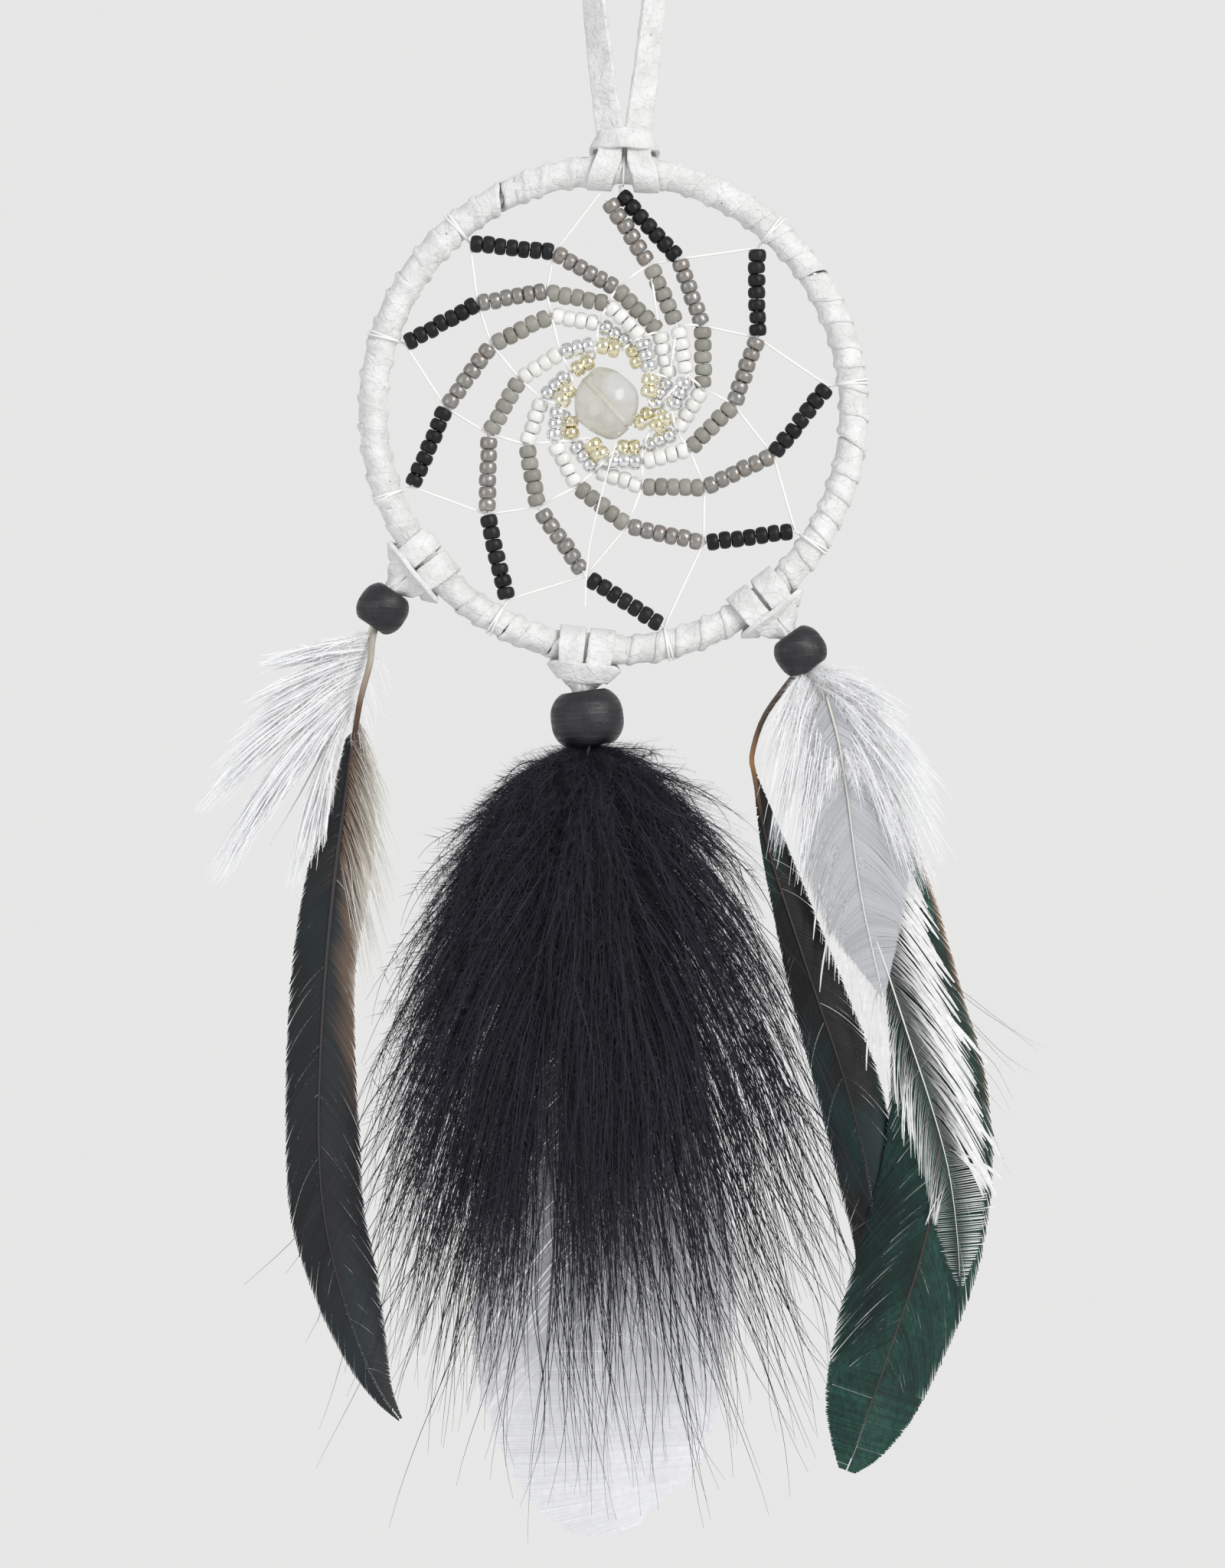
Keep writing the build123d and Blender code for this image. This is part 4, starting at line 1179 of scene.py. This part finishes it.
GREEN_COCK = feather_paint("green_cock", green_colour, Roughness=0.36, Metallic=0.35)
LEFT_COCK_PAINT = feather_paint("left_cock", left_cock_colour, Roughness=0.36, Metallic=0.1)
# Black with patches of painted teal sheen, placed by noise.
DARK_COCK = feather_paint("dark_cock", lambda paint, along, out, own: paint.mix(
    paint.ramp(paint.noise(paint.place((70, 70, 30)), 1.0, 3), (0.54, 0.0), (0.68, 0.7)),
    paint.mix(own, (0.005, 0.005, 0.006), (0.016, 0.014, 0.013)), (0.008, 0.045, 0.045)),
    Roughness=0.32, Metallic=0.3)
CREAM = feather_paint("cream_edge", lambda paint, along, out, own: paint.mix(
    paint.ramp(out, (0.05, 1.0), (0.55, 0.0)), paint.mix(own, (0.58, 0.55, 0.48), (0.80, 0.78, 0.73)),
    (0.20, 0.13, 0.09)), Roughness=0.6)


def hackle_colour(paint, along, out, own):
    """White barbs, dark where they leave the shaft."""
    tone = paint.mix(own, (0.74, 0.74, 0.73), (0.93, 0.93, 0.92))
    fine = paint.noise(paint.place((900, 900, 900)), 1.0, 2)
    tone = paint.mix(paint.ramp(fine, (0.35, 0.4), (0.6, 0.0)), tone, (0.55, 0.55, 0.57))
    return paint.mix(paint.ramp(out, (0.10, 0.85), (0.60, 0.0)), tone, (0.05, 0.05, 0.055))


HACKLE_PAINT = feather_paint("striped_hackle", hackle_colour, Roughness=0.55, Sheen_Weight=0.1)
VEIL = feather_paint("grey_veil", lambda paint, along, out, own: paint.mix(
    own, (0.40, 0.41, 0.43), (0.54, 0.55, 0.57)), Roughness=0.6)


# ---- centre dropper: two marabou plumes over a flat white feather --------------------------
def hair_fan(strands, roots, tips, count, out, depth, reach, jitter, width, points, locks=(0, 0.0),
             hairs=None, wave=0.6, bias=1.0, long=0.35):
    """Long soft barbs from a line of roots to a line of tips; both lines are rows (x, z).

    out says how far sideways and how far down a barb has come where it bends; depth is (middle, spread),
    to the front or back; reach is the range of lengths, as shares of the way to the tips, and long the
    share of barbs that go nearly all the way. locks (number, pull) gathers the tips into points. hairs is
    (number on each barb, length, width, where along the barb they start and end). bias below 1 puts more
    barbs at the end of the root line.
    """
    rng = strands.rng
    share = rng.random(count) ** bias
    root_line, tip_line = smooth_line(roots, 200), smooth_line(tips, 200)
    pick = (share * 199).astype(int)
    root, tip = root_line[pick], tip_line[pick]
    root = root + rng.normal(0, 0.25, root.shape)
    number, pull = locks
    if number:
        centres = np.sort(rng.random(number))
        nearest = np.argmin(np.abs(share[:, None] - centres[None]), axis=1)
        lock_tip = tip_line[(centres * 199).astype(int)][nearest]
        tip = tip + (lock_tip - tip) * pull
    scale = rng.uniform(*reach, count)
    scale = np.where(rng.random(count) < long, rng.uniform(max(0.85, reach[0]), reach[1], count), scale)
    tip = root + (tip - root) * scale[:, None] + rng.normal(0, jitter, tip.shape)
    bend = root + (tip - root) * (np.array(out) * rng.uniform(0.8, 1.2, (count, 2)))
    y = rng.normal(0, 1, count) * depth[1] + depth[0]
    full = [np.stack([p[:, 0], y * k, p[:, 1]], 1) for p, k in ((root, 0.15), (bend, 0.7), (tip, 1.0))]
    lines = bezier(*full, points)
    run = unit(np.gradient(lines, axis=1))
    flat = unit(np.cross(run, (0, 1, 0)))
    t = np.linspace(0, 1, points)[None]
    sway = np.sin(t * rng.uniform(3, 9, (count, 1)) + rng.uniform(0, 6.3, (count, 1))) * t * wave
    lines = lines + flat * sway[..., None] * rng.uniform(0.2, 1.0, (count, 1, 1))
    lines[..., 1] += np.cos(t * rng.uniform(2, 7, (count, 1)) + rng.uniform(0, 6.3, (count, 1))) * t * wave
    taper = np.interp(t[0], (0, 0.15, 0.7, 1), (0.8, 1.0, 0.7, 0.18))
    roll = rng.uniform(-0.7, 0.7, (count, 1, 1))
    half = unit(flat * np.cos(roll) + np.array([0, 1, 0]) * np.sin(roll))
    half = half * (width / 2 * taper)[None, :, None]
    own = rng.random(count)
    strands.ribbons(lines, half, share, own)
    if hairs:
        strands.barbules(lines, share, own, *hairs)


def make_fans(name, seed, material, body, nodes, slot, *fans):
    """A piece of several fans of barbs; each fan is (roots, tips, number, settings)."""
    strands = Strands(seed)
    for roots, tips, count, settings in fans:
        hair_fan(strands, roots, tips, count, **settings)
    strands.piece(name, material, body, nodes, slot)


def make_plumes():
    left_roots = [(-4.4, -60.5), (-4.7, -62.5), (-5.1, -66), (-5.8, -72), (-6.8, -80), (-8.4, -91),
                  (-10.4, -104)]
    left_out = [(-15, -71), (-25, -80), (-33.5, -94), (-40, -113), (-44.5, -137), (-43, -158),
                (-34, -174), (-22, -184)]
    left_in = [(-4, -82), (0, -98), (4, -118), (8, -138), (8, -158), (1, -173), (-9, -184)]
    make_fans(
        "plume_left_marabou", 101, PLUME, "centre_dropper", ("plume_left",), "plume_feather",
        (left_roots, left_out, 1100, dict(
            out=(0.70, 0.36), depth=(-5.0, 1.6), reach=(0.55, 0.96), jitter=3.0, width=0.22, points=18,
            locks=(30, 0.3), hairs=(82, 3.8, 0.09, 0.04, 0.84), wave=2.8, bias=0.85, long=0.16)),
        (left_roots, left_in, 520, dict(
            out=(0.6, 0.36), depth=(-4.4, 1.6), reach=(0.5, 0.98), jitter=3.4, width=0.21, points=18,
            locks=(22, 0.3), hairs=(80, 3.6, 0.09, 0.04, 0.84), wave=2.8, long=0.2)))
    right_roots = [(-3.8, -60.5), (-3.5, -62.5), (-3.0, -66), (-2.2, -72), (-0.8, -80), (1.2, -91),
                   (3.6, -104)]
    right_out = [(7, -71), (16, -79), (25, -90), (32.5, -107), (39.0, -130), (41.5, -152), (37, -168),
                 (28, -178), (16, -185)]
    right_in = [(-7, -86), (-10, -104), (-11, -126), (-11, -148), (-6, -166), (0, -177), (7, -184)]
    make_fans(
        "plume_right_marabou", 102, PLUME, "centre_dropper", ("plume_right",), "plume_feather",
        (right_roots, right_out, 700, dict(
            out=(0.72, 0.34), depth=(-6.2, 1.3), reach=(0.42, 0.95), jitter=3.4, width=0.21, points=18,
            locks=(20, 0.6), hairs=(66, 3.2, 0.075, 0.04, 0.66), wave=3.0, bias=0.85, long=0.22)),
        (right_roots, right_in, 480, dict(
            out=(0.6, 0.36), depth=(-4.4, 1.6), reach=(0.45, 0.95), jitter=3.8, width=0.20, points=18,
            locks=(22, 0.3), hairs=(80, 3.4, 0.08, 0.04, 0.80), wave=2.8, long=0.2)))
    stray_roots = [(-30, -108), (-14, -126), (8, -128), (27, -110)]
    stray_tips = [(-50, -162), (-42, -178), (-26, -190), (-6, -196), (14, -197), (30, -188), (42, -172),
                  (47, -154)]
    make_fans(
        "plume_stray_hairs", 103, PLUME, "centre_dropper", (), "plume_feather",
        (stray_roots, stray_tips, 300, dict(
            out=(0.45, 0.42), depth=(-6.0, 1.2), reach=(0.6, 1.03), jitter=6.0, width=0.22, points=22,
            locks=(50, 0.3), wave=3.6)))
    down = dict(out=(0.6, 0.3), depth=(-1.0, 2.0), reach=(0.5, 1.0), jitter=1.0, width=0.09, points=12,
                hairs=(22, 1.6, 0.035), wave=0.5)
    make_fans(
        "plume_grey_down", 104, GREY_DOWN, "centre_dropper", (), "plume_feather",
        ([(-5, -60), (-6, -70)], [(-16, -64), (-25, -71), (-34, -84), (-40, -100)], 70, down),
        ([(-3, -60), (-1, -72)], [(8, -60), (16, -66), (25, -76), (33, -90)], 90, down))


PLUME_LEFT_SHAFT = Shaft(bare((-4.4, -61), (-5.2, -66), (-6.2, -76), (-8.2, -90), (-10.8, -106)),
                         (-13.5, -124), -2.2)
PLUME_RIGHT_SHAFT = Shaft(bare((-3.8, -61), (-3.0, -66), (-1.4, -76), (1.0, -90), (4.0, -106)),
                          (7.0, -124), -0.8)
BACK = Shaft([(-4, -66, 2.0, 2.0), (-3.4, -80, 8, 8), (-2.5, -95, 13, 12), (-1.5, -115, 17.5, 17),
              (-1.0, -135, 21, 20.5), (-1.2, -155, 24.5, 24), (-1.4, -172, 24, 22.5),
              (-1.2, -188, 19.5, 18.5), (-0.4, -198, 13.0, 13.0)], (2.0, -205.5), 2.0, 1.2, (4, -8))


def make_centre_dropper():
    make_plumes()
    rachis("plume_left_rachis", PLUME_LEFT_SHAFT, 0.42, BLACK_QUILL, "centre_dropper",
           [(-4.7, -0.6, -55.5), (-4.6, -1.4, -58)], ("plume_left_quill",))
    rachis("plume_right_rachis", PLUME_RIGHT_SHAFT, 0.42, BLACK_QUILL, "centre_dropper",
           [(-4.0, 0.1, -55.5), (-3.8, -0.4, -58)], ("plume_right_quill",))
    rachis("back_feather_rachis", BACK, 0.6, WHITE_QUILL, "centre_dropper",
           [(-4.5, 0.9, -55.5), (-4.3, 1.3, -60)], ("back_feather_quill",), flat=0.15)
    blade = Strands(110)
    for side in (-1, 1):
        vane(blade, BACK, side, 300, (52, 26), cover=1.15, clump=14, camber=2.5, frayed=0.012)
    blade.piece("back_feather_barbs", WHITE_VANE, "centre_dropper", ("back_feather",), "white_feather")


# ---- rooster feathers ---------------------------------------------------------------------
LEFT_COCK = Shaft([(-46.9, -58.5, 1.4, 2.4), (-48.6, -70, 2.6, 5.4), (-50.4, -84, 5.2, 6.6),
                   (-52.0, -100, 6.2, 5.4), (-53.0, -116, 6.3, 6.2), (-53.4, -132, 6.0, 7.4),
                   (-52.4, -146, 6.2, 7.2), (-49.6, -159, 5.0, 7.0), (-45.6, -171, 3.4, 4.8),
                   (-42.0, -178.5, 1.8, 2.2)], (-37.8, -184.3), 0.6, -1.0, (8, -10))
RIGHT_COCK = Shaft([(41.5, -57, 1.8, 1.8), (47.5, -74, 4.0, 5.2), (52.8, -90, 5.8, 5.8),
                    (56.6, -106, 7.2, 6.6), (58.8, -122, 8.6, 8.8), (58.9, -138, 10.2, 10.0), (55.6, -154, 11.2, 10.8),
                    (50.6, -169, 10.6, 10.0), (46.4, -181, 8.4, 8.2), (43.8, -188.6, 4.6, 5.0)],
                   (41.6, -194.1), 0.6, -1.6, (14, -16))
RIGHT_DARK = Shaft([(25.6, -66, 0.2, 0.4), (28.0, -79, 1.2, 3.4), (31.4, -90, 2.6, 4.4),
                    (36.4, -105, 4.4, 5.4), (42.4, -123, 5.6, 6.2), (46.6, -141, 5.4, 5.6), (46.8, -151, 3.4, 3.4)],
                   (44.0, -158), 2.2, -0.6, (-6, 10))


def cock_blade(name, shaft, material, body, node, count, camber, seed, angle=(46, 22)):
    """A rooster feather's close vane; `right` marks how far right of the shaft a point is, 0 to 1."""
    blade = Strands(seed)
    rights = []
    for side in (-1, 1):
        before = blade.count
        vane(blade, shaft, side, count, angle, cover=1.35, clump=16, camber=camber, frayed=0.010)
        out = np.vstack(blade.data)[before:, 1]
        rights.append(out * 0.75 + 0.25 if side > 0 else 0.25 - 0.25 * out)
    obj = blade.piece(name, material, body, (node,), "cock_feather")
    values = np.concatenate(rights)
    obj.data.attributes.new("right", "FLOAT", "POINT").data.foreach_set("value", values.astype(np.float32))
    return obj


# ---- left dropper -------------------------------------------------------------------------
def make_left_dropper():
    cock_blade("left_cock_barbs", LEFT_COCK, LEFT_COCK_PAINT, "left_dropper", "left_cock_feather", 330,
               1.6, 120, (40, 20))
    rachis("left_cock_shaft", LEFT_COCK, 0.62, PALE_QUILL, "left_dropper",
           [(-42.7, 0.4, -37.5), (-43.6, -1.2, -41.5), (-44.0, -3.6, -46), (-45.6, -3.6, -52),
            (-46.4, -1.8, -56)],
           ("left_cock_quill",), flat=-0.15)
    make_fans(
        "left_cock_loose_edge", 121, CREAM, "left_dropper", (), "cock_feather",
        ([(-46.6, -56), (-48.0, -68), (-49.6, -82)],
         [(-41.5, -67), (-40.6, -77), (-40.8, -88), (-42.6, -98), (-45.0, -104)], 190, dict(
             out=(0.55, 0.4), depth=(0.2, 0.9), reach=(0.6, 1.1), jitter=0.7, width=0.13, points=12,
             locks=(16, 0.4), hairs=(12, 1.2, 0.04), wave=0.4)))
    roots = [(-43.6, -40.6), (-45.0, -46.5), (-47.5, -53.5), (-50.5, -61)]
    outline = [(-57.0, -43.0), (-64.5, -47.0), (-67.4, -55.5), (-73.2, -68.0), (-75.6, -76.4),
               (-71.6, -87.6), (-66.0, -89.5), (-57.3, -85.5), (-52.0, -78.5)]
    make_fans(
        "left_hackle_fluff", 122, FLUFF, "left_dropper", ("left_hackle_feather",), "hackle_feather",
        (roots, outline, 1100, dict(
            out=(0.55, 0.36), depth=(-1.6, 1.3), reach=(0.30, 1.0), jitter=0.6, width=0.30, points=14,
            locks=(15, 0.8), hairs=(50, 1.8, 0.07, 0.05, 0.7), wave=0.5, bias=0.9)),
        (roots[:3], [(-40.0, -48), (-42.0, -57), (-46, -66)], 26, dict(
            out=(0.5, 0.4), depth=(-0.4, 0.9), reach=(0.4, 1.0), jitter=0.8, width=0.10, points=12,
            hairs=(20, 1.6, 0.04), wave=0.5)))
    shaft = Shaft(bare((-46.5, -46.5), (-50, -56), (-56.0, -68)), (-63, -80), 1.2)
    rachis("left_hackle_shaft", shaft, 0.42, WHITE_QUILL, "left_dropper",
           [(-43.0, -0.9, -37.5), (-44.6, -0.2, -41.5)], ("left_hackle_quill",))


# ---- right dropper ------------------------------------------------------------------------
GREY_VANE = Shaft([(38.6, -52, 2.5, 2.5), (40.7, -60, 5.5, 6.0), (42.2, -69.2, 8.0, 8.5),
                   (43.6, -80, 9.2, 9.6), (45.4, -91, 7.4, 7.6)], (49.0, -107), -3.0, -0.8, (-6, 4))
STRIPED = Shaft([(41.0, -62, 4.0, 4.0), (43.4, -78, 9.2, 9.2), (46.4, -92, 9.2, 9.6), (50.0, -103, 8.0, 9.2),
                 (53.4, -113.5, 6.8, 9.0), (57.4, -125.6, 5.4, 8.2), (60.6, -137.4, 4.8, 6.8),
                 (62.2, -149, 3.6, 4.8)], (62.9, -160), -2.0, -1.2, (-4, 6))


def make_right_dropper():
    cock_blade("right_cock_barbs", RIGHT_COCK, GREEN_COCK, "right_dropper", "right_cock_feather", 380, 2.6,
               130, (40, 24))
    rachis("right_cock_shaft", RIGHT_COCK, 0.62, BROWN_QUILL, "right_dropper",
           [(35.0, 0.1, -44.8), (38.4, 0.2, -50)], ("right_cock_quill",), flat=-0.1)
    cock_blade("right_dark_barbs", RIGHT_DARK, DARK_COCK, "right_dropper", "right_dark_feather", 230, 1.2,
               131)
    rachis("right_dark_shaft", RIGHT_DARK, 0.55, BOWED_QUILL, "right_dropper",
           [(34.2, 1.1, -46.6), (31.2, 1.3, -50.2), (27.2, 1.4, -56.0), (25.2, 1.5, -62.5)],
           ("right_dark_quill",))

    hackle = Strands(132)
    for side in (-1, 1):
        vane(hackle, STRIPED, side, 240, (26, 14), cover=0.40 if side > 0 else 0.20, clump=6, camber=1.4,
             frayed=0.07, parted=0.08, loose=0.08)
    hackle.piece("right_hackle_barbs", HACKLE_PAINT, "right_dropper", ("right_hackle_feather",),
                 "hackle_feather")
    veil = Strands(135)
    for side in (-1, 1):
        vane(veil, GREY_VANE, side, 210, (40, 24), cover=1.1, clump=11, camber=1.0, frayed=0.012, ridge=0.12)
    veil.piece("right_hackle_veil", VEIL, "right_dropper", (), "hackle_feather")
    rachis("right_hackle_shaft", STRIPED, 0.30, WHITE_QUILL, "right_dropper",
           [(34.9, -1.1, -44.7), (36.9, -1.4, -48)], ("right_hackle_quill",), flat=-0.25)
    rachis("right_veil_shaft", GREY_VANE, 0.2, WHITE_QUILL, "right_dropper", flat=-0.3)

    roots = [(34.6, -46.5), (36.5, -49.5), (39.5, -55), (41.0, -62)]
    make_fans(
        "right_hackle_fluff", 133, FLUFF, "right_dropper", (), "hackle_feather",
        (roots, [(27, -60), (27.5, -72), (29.5, -84), (33, -87), (36, -75), (40, -67)], 340, dict(
            out=(0.6, 0.36), depth=(-4.2, 1.0), reach=(0.35, 1.0), jitter=0.8, width=0.21, points=13,
            locks=(12, 0.6), hairs=(50, 2.0, 0.055, 0.05, 0.75), wave=0.5, bias=0.9)),
        (roots, [(46, -50), (53, -56), (58, -66), (60.5, -77), (58.5, -89), (54, -86), (49, -72),
                 (43, -67)], 640, dict(
            out=(0.6, 0.34), depth=(-3.8, 1.2), reach=(0.35, 1.0), jitter=1.2, width=0.19, points=13,
            locks=(20, 0.5), hairs=(60, 2.6, 0.055, 0.05, 0.85), wave=0.5, bias=0.9)))
    make_fans(
        "right_stray_hairs", 134, GREY_DOWN, "right_dropper", (), "hackle_feather",
        ([(55, -97), (60, -110)], [(76, -112), (80.5, -119), (77, -122), (70, -131), (76, -141)], 9, dict(
            out=(0.4, 0.5), depth=(-1.5, 1.0), reach=(0.8, 1.0), jitter=1.5, width=0.12, points=14,
            hairs=(10, 1.2, 0.04), wave=1.2)))


make_left_dropper()
make_centre_dropper()
make_right_dropper()


# ---- floor, light and world ---------------------------------------------------------------
FLOOR_DROP = 0.45           # the floor is this far below the hook point
FLOOR_R = 0.62
KEY_POWER = 12.0
FILL_POWER = 3.0
WORLD_LIGHT = 0.60
BACKGROUND = (0.795, 0.80, 0.79, 1)     # the photograph's wall, as the camera sees it


def make_floor():
    sides = 96
    turn = np.linspace(0, 2 * np.pi, sides, endpoint=False)
    rim = np.stack([FLOOR_R * np.cos(turn), FLOOR_R * np.sin(turn), np.full(sides, -FLOOR_DROP)], 1)
    verts = np.vstack([rim, [[0, 0, -FLOOR_DROP]]])
    tris = [(i, (i + 1) % sides, sides) for i in range(sides)]
    paint = Paint("pale_floor", Roughness=0.8)
    paint.colour(paint.mix(paint.noise(paint.place(), 30, 3), (0.80, 0.80, 0.79), (0.83, 0.83, 0.82)))
    floor = new_piece("floor", verts, None, tris, paint.material)


def make_card():
    """A dark card before the object, seen only in its bright beads: the gap between the softboxes."""
    low, high = -0.75, 0.45
    verts = [(-0.07, -1.6, low), (0.10, -1.6, low), (0.10, -1.6, high), (-0.07, -1.6, high)]
    paint = Paint("dark_card", Roughness=1.0)
    paint.colour(paint.mix(paint.noise(paint.place(), 5, 2), (0.015, 0.015, 0.015), (0.02, 0.02, 0.02)))
    card = new_piece("card", verts, [(0, 1, 2, 3)], None, paint.material)
    card.visible_camera = False
    card.visible_diffuse = False
    card.visible_shadow = False
    card.visible_transmission = False


def soft_light(name, place, aim, size, power, colour=(1, 1, 1)):
    data = bpy.data.lights.new(name, "AREA")
    data.shape = "RECTANGLE"
    data.size, data.size_y = size
    data.energy = power
    data.color = colour
    light = bpy.data.objects.new(name, data)
    bpy.context.scene.collection.objects.link(light)
    light.location = place
    light.rotation_euler = (Vector(aim) - Vector(place)).to_track_quat("-Z", "Y").to_euler()


def make_lights():
    aim = at(0, -50)
    soft_light("key", (0.85, -1.05, 0.45), aim, (0.6, 0.8), KEY_POWER, (1.0, 0.995, 0.98))
    soft_light("fill", (-1.0, -0.9, 0.0), aim, (0.5, 0.9), FILL_POWER, (0.97, 0.98, 1.0))
    world = bpy.data.worlds.new("studio")
    bpy.context.scene.world = world
    world.use_nodes = True
    nodes, links = world.node_tree.nodes, world.node_tree.links
    nodes["Background"].inputs["Color"].default_value = (0.97, 0.98, 1.0, 1)
    nodes["Background"].inputs["Strength"].default_value = WORLD_LIGHT
    seen = nodes.new("ShaderNodeBackground")
    seen.inputs["Color"].default_value = BACKGROUND
    seen.inputs["Strength"].default_value = 1.0
    path = nodes.new("ShaderNodeLightPath")
    mix = nodes.new("ShaderNodeMixShader")
    links.new(path.outputs["Is Camera Ray"], mix.inputs[0])
    links.new(nodes["Background"].outputs[0], mix.inputs[1])
    links.new(seen.outputs[0], mix.inputs[2])
    links.new(mix.outputs[0], nodes["World Output"].inputs[0])


make_floor()
make_card()
make_lights()
bpy.context.scene.view_settings.view_transform = "Standard"
